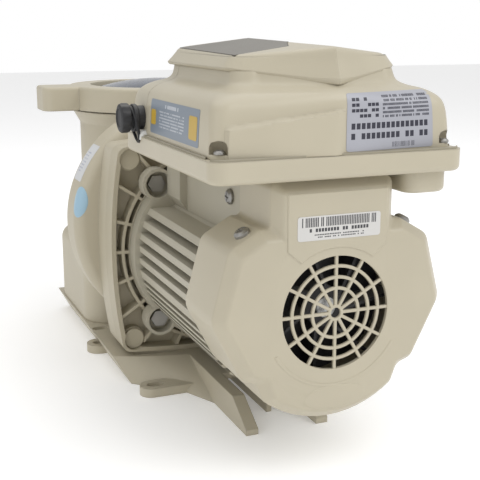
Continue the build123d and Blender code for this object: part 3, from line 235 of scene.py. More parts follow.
# -------------------- stator and rotor
# Stacked steel laminations, lacquered copper coils that overhang the stack, and a smooth rotor.
strands, strands_in, strands_out = new_group(
    "strands", [("Color", "Color", (0.5, 0.2, 0.08, 1)), ("Gap Color", "Color", (0.1, 0.04, 0.02, 1)),
                ("Scale", "Float", 300.0)], [("Color", "Color"), ("Height", "Float")])
lay = put(strands, "ShaderNodeTexCoord")
layers = put(strands, "ShaderNodeTexWave", bands_direction="Y", Distortion=0.6)
two_tone = put(strands, "ShaderNodeMix", data_type="RGBA")
wire(strands, (lay, "Object", layers, "Vector"), (strands_in, "Scale", layers, "Scale"),
     (layers, "Fac", two_tone, "Factor"), (strands_in, "Gap Color", two_tone, "A"),
     (strands_in, "Color", two_tone, "B"), (two_tone, "Result", strands_out, "Color"),
     (layers, "Fac", strands_out, "Height"))


def strand_material(name, color, gap_color, scale, roughness, metallic):
    """Metal made of fine layers along the shaft."""
    material, tree, shader = new_material(name, Roughness=roughness, Metallic=metallic)
    fibre = put(tree, "ShaderNodeGroup", node_tree=strands, Color=(*color, 1), Gap_Color=(*gap_color, 1),
                Scale=scale)
    relief = put(tree, "ShaderNodeBump", Distance=0.0003)
    wire(tree, (fibre, "Color", shader, "Base Color"), (fibre, "Height", relief, "Height"),
         (relief, "Normal", shader, "Normal"))
    return material


dress(strand_material("copper_coils", (0.55, 0.2, 0.08), (0.16, 0.05, 0.02), 260.0, 0.35, 0.8),
      "stator_windings")
dress(strand_material("laminations", (0.36, 0.36, 0.37), (0.12, 0.12, 0.12), 420.0, 0.4, 0.9),
      "stator_core", "rotor_core")

# -------------------- shaft, bearings and bolts
# Ground steel shaft and bearing parts, and zinc-plated bolts.
steel = skin_material("steel", (0.55, 0.55, 0.54), edge=0.0004, metallic=1.0, Grain_Scale=1500.0,
                      Gloss_Base=0.22, Dust=0.05)
zinc = skin_material("zinc", (0.4, 0.39, 0.37), edge=0.0006, metallic=1.0, Grain_Scale=300.0, Gloss_Base=0.38,
                     Clouding=0.25, Dust=0.15)
dress(steel, "motor_shaft", "bearing_outer_races", "bearing_inner_races", "bearing_balls", "impeller_screw")
dress(zinc, "seal_plate_bolts", "motor_flange_bolts")

# -------------------- cooling fan
# Dark moulded fan pressed on the tail of the shaft, dusty from the air that it draws; its heavy pale dusting
# on upward faces is partly dust and partly painted glints.
dress(skin_material("fan_plastic", (0.045, 0.043, 0.045), edge=0.0006, Gloss_Base=0.38, Dust=0.8,
                    Clouding=0.3),
      "cooling_fan")

# -------------------- fan cover
# Thin beige shell with rounded edges: eight-sided round the fan, a neck up to the drive box, and a round
# grille of rings and spokes moulded in its rear face.
mm = 0.001


def corners(node):
    """A node's lowest and highest corners in millimetres."""
    low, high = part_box(node)
    return Vector(low) / mm, Vector(high) / mm


def loft(work, rings, closed=False):
    """Faces through rings of points in millimetres, each with the same count; returns the rings' vertices."""
    loops = [[work.verts.new(Vector(point) * mm) for point in ring] for ring in rings]
    for low, high in zip(loops, loops[1:] + loops[:closed]):
        for i in range(len(low)):
            j = (i + 1) % len(low)
            work.faces.new((low[i], low[j], high[j], high[i]))
    return loops


def solid(rings):
    """Closed mesh through rings, with both ends capped."""
    work = bmesh.new()
    loops = loft(work, rings)
    work.faces.new(loops[0][::-1])
    work.faces.new(loops[-1])
    return to_mesh(work)


def to_mesh(work, recalculate=True):
    """Mesh data from a finished bmesh."""
    if recalculate:
        bmesh.ops.recalc_face_normals(work, faces=work.faces)
    mesh = bpy.data.meshes.new("shape")
    work.to_mesh(mesh)
    work.free()
    return mesh


def evaluated(thing):
    """Plain mesh of an object with its modifiers applied."""
    bpy.context.view_layer.update()
    return bpy.data.meshes.new_from_object(thing.evaluated_get(bpy.context.evaluated_depsgraph_get()))


def combine(mesh, other, operation="DIFFERENCE"):
    """First mesh cut by the second, or joined to it."""
    pair = [bpy.data.objects.new("work", data) for data in (mesh, other)]
    for thing in pair:
        bpy.context.collection.objects.link(thing)
    cut = pair[0].modifiers.new("cut", "BOOLEAN")
    cut.object = pair[1]
    cut.operation = operation
    result = evaluated(pair[0])
    for thing in pair:
        bpy.data.objects.remove(thing)
    return result


def together(*meshes):
    """One mesh of several loose ones."""
    work = bmesh.new()
    for mesh in meshes:
        work.from_mesh(mesh)
    return to_mesh(work, recalculate=False)


def ring_of(radius, steps, tall=1.0):
    """Points of a circle or an oval round the origin."""
    turns = (2 * math.pi * k / steps for k in range(steps))
    return [(radius * math.cos(t), tall * radius * math.sin(t)) for t in turns]


def inset(points, amount):
    """Anticlockwise outline moved inward with its corners kept sharp."""
    moved = []
    for i, corner in enumerate(points):
        before = (Vector(corner) - Vector(points[i - 1])).normalized()
        after = (Vector(points[(i + 1) % len(points)]) - Vector(corner)).normalized()
        inward = Vector((-before.y - after.y, before.x + after.x))
        moved.append(Vector(corner) + inward * amount / (1 + before.dot(after)))
    return moved


def rounded(points, radii, steps=6):
    """Outline with its corners turned into arcs; a corner with no radius stays one point."""
    outline = []
    for i, (corner, radius) in enumerate(zip(points, radii)):
        corner = Vector(corner)
        if not radius:
            outline.append(corner)
            continue
        back = Vector(points[i - 1]) - corner
        on = Vector(points[(i + 1) % len(points)]) - corner
        slope = math.tan((math.pi - back.angle(on)) / 2)
        reach = min(radius * slope, 0.48 * back.length, 0.48 * on.length)
        radius = reach / slope
        back, on = back.normalized(), on.normalized()
        centre = corner + (back + on).normalized() * math.hypot(reach, radius)
        start, end = corner + back * reach - centre, corner + on * reach - centre
        outline += [centre + start.lerp(end, k / steps).normalized() * radius for k in range(steps + 1)]
    return outline


def piece(name, mesh, material, slot, *stands_for, body="pump", angle=35):
    """Finished mesh as a piece that rides on a body and may stand for CAD nodes."""
    mesh.materials.clear()
    mesh.materials.append(material)
    mesh.shade_smooth()
    mesh.set_sharp_from_angle(angle=math.radians(angle))
    thing = bpy.data.objects.new(name, mesh)
    bpy.context.collection.objects.link(thing)
    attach(thing, body)
    for node in stands_for:
        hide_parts(node)
    return thing


def grow(tree, mesh, **values):
    """Plain mesh that a Geometry Nodes tree makes; its inputs are set by their identifiers."""
    holder = bpy.data.objects.new("work", mesh)
    bpy.context.collection.objects.link(holder)
    modifier = holder.modifiers.new("grow", "NODES")
    modifier.node_group = tree
    for socket in tree.interface.items_tree:
        label = socket.name.replace(" ", "_")
        if socket.in_out == "INPUT" and label in values:
            modifier[socket.identifier] = values[label]
    result = evaluated(holder)
    holder.modifiers.remove(modifier)
    bpy.data.objects.remove(holder)
    return result


def new_growth(name, inputs):
    """Empty Geometry Nodes tree with named inputs, and a function that adds a node to it."""
    tree = bpy.data.node_groups.new(name, "GeometryNodeTree")
    tree.interface.new_socket("Geometry", in_out="INPUT", socket_type="NodeSocketGeometry")
    for label, kind in inputs:
        tree.interface.new_socket(label, in_out="INPUT", socket_type="NodeSocket" + kind)
    tree.interface.new_socket("Geometry", in_out="OUTPUT", socket_type="NodeSocketGeometry")

    def add(kind, **values):
        return put(tree, kind, **values)

    return tree, add, add("NodeGroupInput"), add("NodeGroupOutput")


# Grille: concentric rings and spokes swept with a rounded rib section.
grille, add, given, made = new_growth("grille", [
    ("Outer Radius", "Float"), ("Hub Radius", "Float"), ("First Ring", "Float"), ("Ring Step", "Float"),
    ("Rings", "Int"), ("Spokes", "Int"), ("Rib Width", "Float"), ("Rib Depth", "Float"),
    ("Material", "Material")])
ring_points = add("GeometryNodePoints")
circle = add("GeometryNodeCurvePrimitiveCircle", Resolution=72, Radius=1.0)
place = add("GeometryNodeInputIndex")
ring_gap = add("ShaderNodeMath", operation="MULTIPLY_ADD")
ring_set = add("GeometryNodeInstanceOnPoints")
hub = add("GeometryNodeCurvePrimitiveCircle", Resolution=32)
spoke_points = add("GeometryNodePoints")
spoke_start = add("ShaderNodeCombineXYZ", Z=-0.15 * mm)     # a hair under the rings
spoke_end = add("ShaderNodeCombineXYZ", Z=-0.15 * mm)
spoke = add("GeometryNodeCurvePrimitiveLine")
full_turn = add("ShaderNodeMath", operation="DIVIDE", _0=2 * math.pi)
spoke_turn = add("ShaderNodeMath", operation="MULTIPLY")
spoke_angle = add("ShaderNodeCombineXYZ")
spoke_way = add("FunctionNodeEulerToRotation")
spoke_set = add("GeometryNodeInstanceOnPoints")
all_lines = add("GeometryNodeJoinGeometry")
real_lines = add("GeometryNodeRealizeInstances")
upright = add("GeometryNodeSetCurveNormal", mode="Z_UP")
section = add("GeometryNodeCurvePrimitiveQuadrilateral")
soft_section = add("GeometryNodeFilletCurve", mode="POLY", Count=2, Radius=0.6 * mm)
ribs = add("GeometryNodeCurveToMesh", Fill_Caps=True)
whole = add("GeometryNodeRealizeInstances")
colored = add("GeometryNodeSetMaterial")
wire(grille, (given, "Rings", ring_points, "Count"), (place, 0, ring_gap, 0),
     (given, "Ring Step", ring_gap, 1), (given, "First Ring", ring_gap, 2),
     (ring_points, 0, ring_set, "Points"), (circle, "Curve", ring_set, "Instance"),
     (ring_gap, 0, ring_set, "Scale"), (given, "Hub Radius", hub, "Radius"),
     (given, "Spokes", spoke_points, "Count"), (given, "Hub Radius", spoke_start, "X"),
     (given, "Outer Radius", spoke_end, "X"), (spoke_start, 0, spoke, "Start"), (spoke_end, 0, spoke, "End"),
     (given, "Spokes", full_turn, 1), (full_turn, 0, spoke_turn, 0), (place, 0, spoke_turn, 1),
     (spoke_turn, 0, spoke_angle, "Z"), (spoke_angle, 0, spoke_way, 0),
     (spoke_points, 0, spoke_set, "Points"), (spoke, "Curve", spoke_set, "Instance"),
     (spoke_way, 0, spoke_set, "Rotation"), (ring_set, 0, all_lines, 0), (hub, "Curve", all_lines, 0),
     (spoke_set, 0, all_lines, 0), (all_lines, 0, real_lines, 0), (real_lines, 0, upright, "Curve"),
     (upright, 0, ribs, "Curve"), (given, "Rib Depth", section, "Height"),
     (given, "Rib Width", section, "Width"), (section, 0, soft_section, "Curve"),
     (soft_section, 0, ribs, "Profile Curve"), (ribs, 0, whole, 0), (whole, 0, colored, "Geometry"),
     (given, "Material", colored, "Material"), (colored, 0, made, 0))

cover_plastic = skin_material("cover_plastic", beige, Gloss_Base=0.34)
cover_low, cover_high = corners("fan_cover")
shaft_low, shaft_high = corners("motor_shaft")
shaft_z = (shaft_low.z + shaft_high.z) / 2
belly_r = shaft_z - cover_low.z
neck_half = 50
grille_r = 43.8
cover_wall = 3
# rounded rear edge: depth along the shaft and distance in from the outline
edge_profile = ((11, 0), (9.4, 0.25), (8.3, 1.0), (3.0, 5.4), (1.7, 6.4), (0.7, 7.5), (0.15, 8.6), (0, 9.6))
belly_steps = 7
belly_end = 40          # degrees from the bottom to the end of the round belly
arc = [(belly_r * math.sin(math.radians(a)), -belly_r * math.cos(math.radians(a)))
       for a in (belly_end * k / belly_steps for k in range(belly_steps + 1))]
# points beside and above the belly, each with its corner radius
flank = [((60, -51), 9), ((72, -47), 9), ((96, 0), 16), ((82, 52), 12), ((58, 66), 6), ((neck_half, 66), 5),
         ((neck_half, cover_high.z - shaft_z), 7)]
right_side = [(point, 0) for point in arc[:-1]] + [(arc[-1], 8)] + flank
cover_corners = right_side + [((-x, z), r) for (x, z), r in reversed(right_side[1:])]


def cover_ring(y, shrink):
    """Ring of the fan cover's outline at a station along the shaft."""
    outline = inset([point for point, _ in cover_corners], shrink)
    ring = rounded(outline, [max(r - 0.6 * shrink, 2) if r else 0 for _, r in cover_corners])
    return [(x, y, shaft_z + z) for x, z in ring]


def cover_shell(wall, front):
    """Body of the fan cover drawn in by a wall, with its rear edge rounded."""
    rings = [cover_ring(front, wall)]
    rings += [cover_ring(cover_low.y + wall + depth, wall + across) for depth, across in edge_profile]
    return solid(rings)


def disc(radius, y0, y1):
    """Round plug along the shaft line."""
    return solid([[(x, y, shaft_z + z) for x, z in ring_of(radius, 96)] for y in (y0, y1)])


shell = combine(cover_shell(0, cover_high.y), cover_shell(cover_wall, cover_high.y + 5))
y_face = cover_low.y
band_in, band_out, band_proud = 55, 57.5, 0.4      # raised band under the grille
band_section = [(band_in, 1), (band_in, -band_proud * 0.5), (band_in + 0.8, -band_proud),
                (band_out - 0.8, -band_proud), (band_out, -band_proud * 0.5), (band_out, 1)]
band = solid([[(r * math.cos(a), y_face + out, shaft_z + r * math.sin(a)) for r, out in band_section]
              for a in (math.radians(210 + 120 * k / 72) for k in range(73))])
oval_pad = solid([[(x, y_face - proud, shaft_z - 66 + z) for x, z in ring_of(r, 64, 0.36)]
                  for r, proud in ((27, -1), (26.6, 0), (25.6, 0.4), (24, 0.6))])
for part in (band, oval_pad):
    shell = combine(shell, part, "UNION")
panel_half = 40.5
panel_arc = [(50 * math.cos(math.radians(a)), 50 * math.sin(math.radians(a))) for a in range(54, 127, 6)]
panel_top = cover_high.z - shaft_z - 8
panel_face = [(panel_half, 50), (panel_half, panel_top), (-panel_half, panel_top), (-panel_half, 50),
              *panel_arc[::-1]]
neck_panel = solid([[(x, y_face - proud, shaft_z + z) for x, z in face]
                    for face, proud in ((panel_face, -1), (panel_face, 0.3), (inset(panel_face, 0.8), 0.9))])
shell = combine(shell, neck_panel, "UNION")
air_guide = combine(solid([cover_ring(y_face + depth, 2.2) for depth in (47, 49)]),
                    disc(60, y_face + 45, y_face + 51))
shell = combine(shell, air_guide, "UNION")
shell = combine(shell, disc(grille_r, y_face - 5, y_face + 12))
ribs_mesh = grow(grille, bpy.data.meshes.new("seed"), Outer_Radius=(grille_r + 1) * mm, Hub_Radius=5.2 * mm,
                 First_Ring=19 * mm, Ring_Step=8.4 * mm, Rings=3, Spokes=12, Rib_Width=2.5 * mm,
                 Rib_Depth=2.6 * mm, Material=cover_plastic)
ribs_mesh.transform(Matrix.Translation((0, (y_face + 1.5) * mm, shaft_z * mm))
                    @ Matrix.Rotation(math.radians(90), 4, "X"))
fan_cover = piece("fan_cover_shell", together(shell, ribs_mesh), cover_plastic, "beige_plastic", "fan_cover")

# -------------------- drive tray and gasket
# Shallow beige moulding on the motor's pedestal, with a foam gasket in its rim.
dress(skin_material("tray_plastic", beige, edge=0.002, Gloss_Base=0.32), "drive_tray")
dress(skin_material("gasket_foam", (0.36, 0.33, 0.255), edge=0.0003, Gloss_Base=0.6), "drive_gasket")

# -------------------- electronics in the drive
# Green circuit board with copper tracks on steel pillars, black capacitors and a pale terminal block.
board_ink, board_tree, board_shader = new_material("board_ink", Roughness=0.3)
board_place = put(board_tree, "ShaderNodeTexCoord")
tracks = put(board_tree, "ShaderNodeTexBrick", Scale=60.0, Mortar_Size=0.06, Color1=(0.012, 0.09, 0.035, 1),
             Color2=(0.015, 0.12, 0.045, 1), Mortar=(0.16, 0.2, 0.06, 1))
wire(board_tree, (board_place, "Object", tracks, "Vector"), (tracks, "Color", board_shader, "Base Color"))
dress(skin_material("capacitor_sleeve", (0.03, 0.035, 0.05), edge=0.0006, Gloss_Base=0.22), "capacitors")
dress(skin_material("block_plastic", (0.5, 0.5, 0.46), edge=0.0005, Gloss_Base=0.4), "terminal_block")
dress(board_ink, "circuit_board")
dress(steel, "board_pillars")

# -------------------- drive cover and wiring cover
# One smooth beige shell in two mouldings with a fine seam. The sides rise nearly straight, roll over a
# soft shoulder and sweep up to the keypad; the four screws stand in niches at its corners.
tray_low, tray_high = corners("drive_tray")
shell_low, shell_high = corners("drive_cover")
y_rear = tray_low.y
y_front = tray_high.y
y_seam = shell_high.y
# height, half width, set-back of the rear corners, middle of the rear face, front set-back, corner radius
shell_levels = [(-1.3, 96.5, 11.8, 8, 3.8, 10), (14, 95.8, 13, 9, 4.5, 10), (27, 94.8, 15, 11, 6, 11),
                (34, 92.8, 17.5, 13.5, 8, 13), (38.5, 88.5, 22, 17, 11, 15), (41.8, 82, 28, 20.5, 15, 17),
                (44.2, 73.5, 37, 26, 19, 18), (48, 68.5, 46, 29, 22, 17), (56, 66.5, 50, 30, 24, 16)]
level_steps = 9
ledge_out = 3.6         # band under the diagonal crease of the rear face's left half
crown_soft = 0.18       # roundness of the vertical crown in its middle


def through(levels, steps):
    """Smooth run of levels through the given ones."""
    run = []
    for i in range(len(levels) - 1):
        a, b, c, d = (levels[max(i - 1, 0)], levels[i], levels[i + 1], levels[min(i + 2, len(levels) - 1)])
        for k in range(steps):
            t = k / steps
            run.append([0.5 * (2 * q + (r - p) * t + (2 * p - 5 * q + 4 * r - s) * t**2
                               + (3 * q - p - 3 * r + s) * t**3) for p, q, r, s in zip(a, b, c, d)])
    return run + [list(levels[-1])]


def ease(value):
    """Smooth step from 0 to 1."""
    value = min(max(value, 0), 1)
    return value * value * (3 - 2 * value)


def shell_ring(level, wall=0.0):
    """Ring of the shell at one level, drawn in by a wall."""
    height, half, back, crown, front_back, corner = level
    half, rear, front = half - wall, y_rear + back + wall, y_front - front_back - wall
    corner = max(corner - wall, 4)

    def bow(x):
        share = (math.hypot(x / half, crown_soft) - crown_soft) / (math.hypot(1, crown_soft) - crown_soft)
        return crown * (1 - share)

    ring = []
    for k in range(41):
        x = (half - corner) * (k / 20 - 1)
        crease = 19 + 12 * (1 + x / half)       # it climbs from the corner to the middle
        ledge = ledge_out * ease((crease - height) / 1.2) * ease(-x / 6) * ease((half - corner + x + 14) / 14)
        ring.append((x, rear - bow(x) + (0 if wall else -ledge)))
    rear_corner = rear - bow(half - corner)
    for side, y, start in ((1, rear_corner, -90), (1, front, 0), (-1, front, 90), (-1, rear_corner, 180)):
        centre_y = y + corner if y == rear_corner else y - corner
        ring += [(side * (half - corner) + corner * math.cos(math.radians(start + a)),
                  centre_y + corner * math.sin(math.radians(start + a))) for a in range(0, 91, 10)]
    return [(x, y, shell_low.z + height) for x, y in ring[:-1]]


outer_levels = through(shell_levels, level_steps)
shell_wall = 3.2
inner_levels = [[level[0] - shell_wall, *level[1:]] for level in outer_levels]
inner_levels[0][0] = -4         # open foot
inner_levels[1:] = [level for level in inner_levels[1:] if level[0] > 0]
shell_hollow = solid([shell_ring(level, shell_wall) for level in inner_levels])
post_x = tray_high.x - 11
post_ys = (y_rear + 15, y_front - 12)
posts = [(x, y) for x in (-post_x, post_x) for y in post_ys]
boss = ((11.5, -2), (11.5, 16))         # radius and height: the wall kept round a screw, and its niche
niche = ((7.4, 2), (7.4, 7), (5.8, 10), (2, 11.5))


def post_solid(spot, profile):
    """Turned solid on the upright line of a cover screw."""
    return solid([[(spot[0] + x, spot[1] + y, shell_low.z + height) for x, y in ring_of(radius, 40)]
                  for radius, height in profile])


for spot in posts:
    shell_hollow = combine(shell_hollow, post_solid(spot, boss))
drive_shell = combine(solid([shell_ring(level) for level in outer_levels]), shell_hollow)
for spot in posts:
    drive_shell = combine(drive_shell, post_solid(spot, niche))
far = 400
seam_half = 0.3


def block(y0, y1):
    """Block wider and taller than the drive, between two stations."""
    return solid([[(-far, y0, z), (far, y0, z), (far, y1, z), (-far, y1, z)] for z in (0, far)])


shell_plastic = skin_material("shell_plastic", beige, edge=0.0012, Gloss_Base=0.3, Dust=0.08)
drive_cover = piece("drive_cover_shell", combine(drive_shell, block(y_seam - seam_half, far)), shell_plastic,
                    "beige_plastic", "drive_cover")
piece("wiring_cover_shell", combine(drive_shell, block(-far, y_seam + seam_half)), shell_plastic,
      "beige_plastic", "wiring_cover")

# -------------------- cable port and its plug
# Moulded port in the left wall, closed by a black rubber cap on a thin strap that is looped round a
# small white turned piece.


def lathe(profile, centre, steps=48, fluting=0.0, flutes=10):
    """Turned solid on a line across the pump; the profile is (distance to the left, radius)."""
    rings = []
    for out, radius in profile:
        depth = fluting if radius > 12 else 0
        ring = []
        for turn in (2 * math.pi * k / steps for k in range(steps)):
            reach = radius - depth * (1 + math.cos(flutes * turn))
            ring.append((centre[0] - out, centre[1] + reach * math.cos(turn),
                         centre[2] + reach * math.sin(turn)))
        rings.append(ring)
    return solid(rings)


dress(black_plastic, "port_fitting")
plug_low, plug_high = corners("port_plug")
plug_spot = (plug_high.x, (plug_low.y + plug_high.y) / 2, (plug_low.z + plug_high.z) / 2)
plug_out = plug_high.x - plug_low.x
cap_profile = [(0, 6.4)] + [(plug_out - back, radius) for back, radius in (
    (15.2, 6.5), (15.0, 11.0), (14.4, 11.5), (11.6, 11.5), (11.0, 11.0), (10.6, 8.6), (8.6, 8.6), (8.2, 11.6),
    (7.4, 12.3), (2.4, 12.4), (0.9, 11.4), (0.2, 9.6), (0, 8.2), (0.9, 7.6), (0.9, 0.5))]
piece("port_cap", lathe(cap_profile, plug_spot, steps=80, fluting=0.45), rubber, "black_rubber", "port_plug",
      body="port_plug")
# Small white turned piece inside the strap's loop.
white_turned_piece = lathe([(0, 4.4), (6, 4.4), (6.6, 4.0), (8.6, 3.6), (8.8, 3.0)],
                      (-93.5, plug_spot[1] - 9, plug_spot[2] - 14), steps=24)
piece("strap_fitting", white_turned_piece, basket_plastic, "white_basket")
strap_x = plug_low.x + 9.6
strap_steps = 56
strap_rings = []
for k in range(strap_steps):
    turn = 2 * math.pi * k / strap_steps
    drop = 0.5 - 0.5 * math.sin(turn)
    middle = Vector((strap_x + 5.5 * drop, plug_spot[1] - 5.5 * drop + (9.7 - 1.2 * drop) * math.cos(turn),
                     plug_spot[2] - 5 + 14.6 * math.sin(turn)))
    inward = Vector((0, -math.cos(turn), -math.sin(turn)))
    strap_rings.append([middle + inward * a + Vector((1, 0, 0)) * b for a, b in ring_of(0.9, 8, 1.5)])
strap = bmesh.new()
loft(strap, strap_rings, closed=True)
piece("plug_strap", to_mesh(strap), rubber, "black_rubber")

# -------------------- keypad housing
# Low beige roof with a soft ridge and rounded edges; a pocket in its left slope holds the keypad panel
# under the flip cover, and a groove beside the ridge takes the cover's hinge barrel.
roof_low, roof_high = corners("keypad_housing")
flip_left = corners("keypad_cover")[0].x
panel_z = corners("keypad_panel")[0].z
ridge_z = shaft_z + 197
roof_front = roof_high.y - 5
slope_x = 0.117
slope_y = 0.022
roof_half = roof_high.x
roof_rear = roof_low.y + 32


def roof_at(x, y, below=0.0):
    """Height of the roof over a point of the plan."""
    return ridge_z - slope_x * abs(x) + slope_y * (y - roof_front) - below


rear_half = roof_half - 8
right_edge = [(rear_half * k / 4, roof_low.y + (roof_rear - roof_low.y) * k / 4) for k in range(5)]
right_edge += [(roof_half, roof_rear + 8), (roof_half, roof_high.y)]
roof_plan = right_edge + [(0, roof_high.y)] + [(-x, y) for x, y in right_edge[:0:-1]]
roof_radii = [0, 0, 0, 0, 16, 14, 9, 0, 9, 14, 16, 0, 0, 0]
skirt_flare = 5.2       # the skirt spreads towards its foot and dips over the shell at the rear
skirt_dip = 9


def skirt_foot(x, y):
    """How far the skirt's lower edge dips at a point of the plan."""
    side_fade = min(1, 1.2 * (1 - abs(x) / (roof_half + skirt_flare)))
    return skirt_dip * side_fade * ease((roof_rear + 12 - y) / 16)


roof_rings = []
for lift, draw in ((0, 1.2 - skirt_flare), (1.2, 0.3 - skirt_flare), (2.2, -skirt_flare),
                   (6, 0.5 - 0.55 * skirt_flare), (10, 0.3)):
    plan = rounded(inset(roof_plan, draw), roof_radii, 8)
    roof_rings.append([(x, y, roof_low.z + lift - skirt_foot(x, y) * (1 - lift / 10)) for x, y in plan])
for k in range(1, 8):
    turn = math.radians(90 * k / 7)
    plan = rounded(inset(roof_plan, 0.3 + 5 * (1 - math.cos(turn))), roof_radii, 8)
    roof_rings.append([(x, y, roof_at(x, y, 4.5 * (1 - math.sin(turn)))) for x, y in plan])
roof_work = bmesh.new()
roof_loops = loft(roof_work, roof_rings)
roof_work.faces.new(roof_loops[0][::-1])
top_loop = roof_loops[-1]
first, last = [i for i, vert in enumerate(top_loop) if abs(vert.co.x) < 1e-6]      # ends of the ridge
roof_work.faces.new(top_loop[first:last + 1])
roof_work.faces.new(top_loop[last:] + top_loop[:first + 1])
roof = to_mesh(roof_work)

# pocket under the flip cover, its ledge and well
flip_plan = [(flip_left, roof_front - 126), (-15, roof_front - 117), (0.5, roof_front - 82),
             (0.5, roof_front - 2), (flip_left, roof_front - 4)]
pocket_plan = inset(flip_plan, -0.4)
pocket = solid([[(x, y, ridge_z + slope_x * x + slope_y * (y - roof_front) - 2.95) for x, y in pocket_plan],
                [(x, y, ridge_z + 30) for x, y in pocket_plan]])
roof = combine(roof, pocket)
for draw, floor_z in ((4, panel_z), (8, roof_low.z + 0.5)):
    plan = inset(flip_plan, draw)
    roof = combine(roof, solid([[(x, y, z) for x, y in plan] for z in (floor_z, ridge_z + 30)]))
groove_r = 2.6          # round the cover's hinge barrel, beside the ridge
groove = solid([[(1.2 + x, roof_front - back, ridge_z - 1.6 - slope_y * back + z)
                 for x, z in ring_of(groove_r, 24)] for back in (88, -0.5)])
roof = combine(roof, groove)
piece("keypad_roof", roof, shell_plastic, "beige_plastic", "keypad_housing", angle=30)

# -------------------- flip cover, keypad panel and buttons
# Dark olive flip cover over a black panel with a grey display and pale rubber buttons.
dress(skin_material("flip_plastic", (0.135, 0.122, 0.1), edge=0.0009, Gloss_Base=0.34, Dust=0.1),
      "keypad_cover")
dress(skin_material("button_rubber", (0.4, 0.4, 0.39), edge=0.0008, Gloss_Base=0.5),
      *[name for name in nodes if name.endswith("_button") or name.startswith("speed_button")])
dress(skin_material("display_glass", (0.09, 0.11, 0.09), edge=0.0004, bump=0.0, Gloss_Base=0.08),
      "keypad_display")
dress(black_plastic, "keypad_panel")

# -------------------- cover screws
# Plated pan-head screws with a cross recess: two at each end of the drive shell and four on the fan
# cover. Each head is grown on a point that knows which way its hole faces.
heads, add, given, made = new_growth("screw_heads", [
    ("Head Radius", "Float"), ("Head Height", "Float"), ("Recess Width", "Float"), ("Seed", "Int"),
    ("Material", "Material")])
wall_height = add("ShaderNodeMath", operation="MULTIPLY", _1=0.55)
barrel = add("GeometryNodeMeshCylinder", Vertices=20)
crowned = add("GeometryNodeExtrudeMesh", mode="FACES")
crown_height = add("ShaderNodeMath", operation="MULTIPLY", _1=0.4)
drawn_in = add("GeometryNodeScaleElements", domain="FACE", Scale=0.68)
recess_length = add("ShaderNodeMath", operation="MULTIPLY", _1=1.15)
bar_up = add("ShaderNodeCombineXYZ")
recessed = add("GeometryNodeMeshBoolean", operation="DIFFERENCE")
facing = add("GeometryNodeInputNamedAttribute", data_type="FLOAT_VECTOR", Name="facing")
aimed = add("FunctionNodeAlignRotationToVector", axis="Z")
chance = add("FunctionNodeRandomValue", data_type="FLOAT", _3=2 * math.pi)
twist = add("ShaderNodeCombineXYZ")
twist_way = add("FunctionNodeEulerToRotation")
turned = add("FunctionNodeRotateRotation", rotation_space="LOCAL")
set_heads = add("GeometryNodeInstanceOnPoints")
real_heads = add("GeometryNodeRealizeInstances")
plated = add("GeometryNodeSetMaterial")
wire(heads, (given, "Head Radius", barrel, "Radius"), (given, "Head Height", wall_height, 0),
     (wall_height, 0, barrel, "Depth"), (barrel, "Mesh", crowned, "Mesh"),
     (barrel, "Top", crowned, "Selection"), (given, "Head Height", crown_height, 0),
     (crown_height, 0, crowned, "Offset Scale"), (crowned, "Mesh", drawn_in, "Geometry"),
     (crowned, "Top", drawn_in, "Selection"), (given, "Head Radius", recess_length, 0),
     (given, "Head Height", bar_up, "Z"), (drawn_in, 0, recessed, 0), (facing, 0, aimed, "Vector"),
     (given, "Seed", chance, "Seed"), (chance, 1, twist, "Z"), (twist, 0, twist_way, 0),
     (aimed, 0, turned, "Rotation"), (twist_way, 0, turned, "Rotate By"),
     (given, "Geometry", set_heads, "Points"), (recessed, 0, set_heads, "Instance"),
     (turned, 0, set_heads, "Rotation"), (set_heads, 0, real_heads, 0), (real_heads, 0, plated, "Geometry"),
     (given, "Material", plated, "Material"), (plated, 0, made, 0))
for long_side, short_side in ("XY", "YX"):
    bar_size = add("ShaderNodeCombineXYZ")
    bar = add("GeometryNodeMeshCube")
    raised = add("GeometryNodeTransform")
    wire(heads, (recess_length, 0, bar_size, long_side), (given, "Recess Width", bar_size, short_side),
         (given, "Head Height", bar_size, "Z"), (bar_size, 0, bar, "Size"), (bar, "Mesh", raised, "Geometry"),
         (bar_up, 0, raised, "Translation"), (raised, 0, recessed, 1))


def screw_heads(name, spots, radius, height, seed, *stands_for):
    """Screw heads on spots, each a point in millimetres and the way that it faces."""
    points = bpy.data.meshes.new("points")
    points.from_pydata([Vector(point) * mm for point, _ in spots], [], [])
    facing_data = points.attributes.new("facing", "FLOAT_VECTOR", "POINT")
    for item, (_, way) in zip(facing_data.data, spots):
        item.vector = Vector(way).normalized()
    mesh = grow(heads, points, Head_Radius=radius * mm, Head_Height=height * mm, Recess_Width=1.1 * mm,
                Seed=seed, Material=zinc)
    piece(name, mesh, zinc, "steel", *stands_for)


z_lug = shell_low.z + 3
for name, y, seed in (("drive", post_ys[0], 3), ("wiring", post_ys[1], 5)):
    spots = [((x, y, z_lug), (0, 0, 1)) for x in (-post_x, post_x)]
    screw_heads(name + "_screw_heads", spots, 4.2, 3.0, seed, name + "_cover_screws")
fan_spots = [((side * (neck_half + 0.8), cover_high.y + 18, shaft_z + 77), (side, 0, 0)) for side in (-1, 1)]
fan_spots += [((side * 66.8, y_face + 21, shaft_z + 61.8), (side * 14, 0, 24)) for side in (-1, 1)]
screw_heads("fan_screw_heads", fan_spots, 6.2, 4.6, 8, "fan_cover_screws")

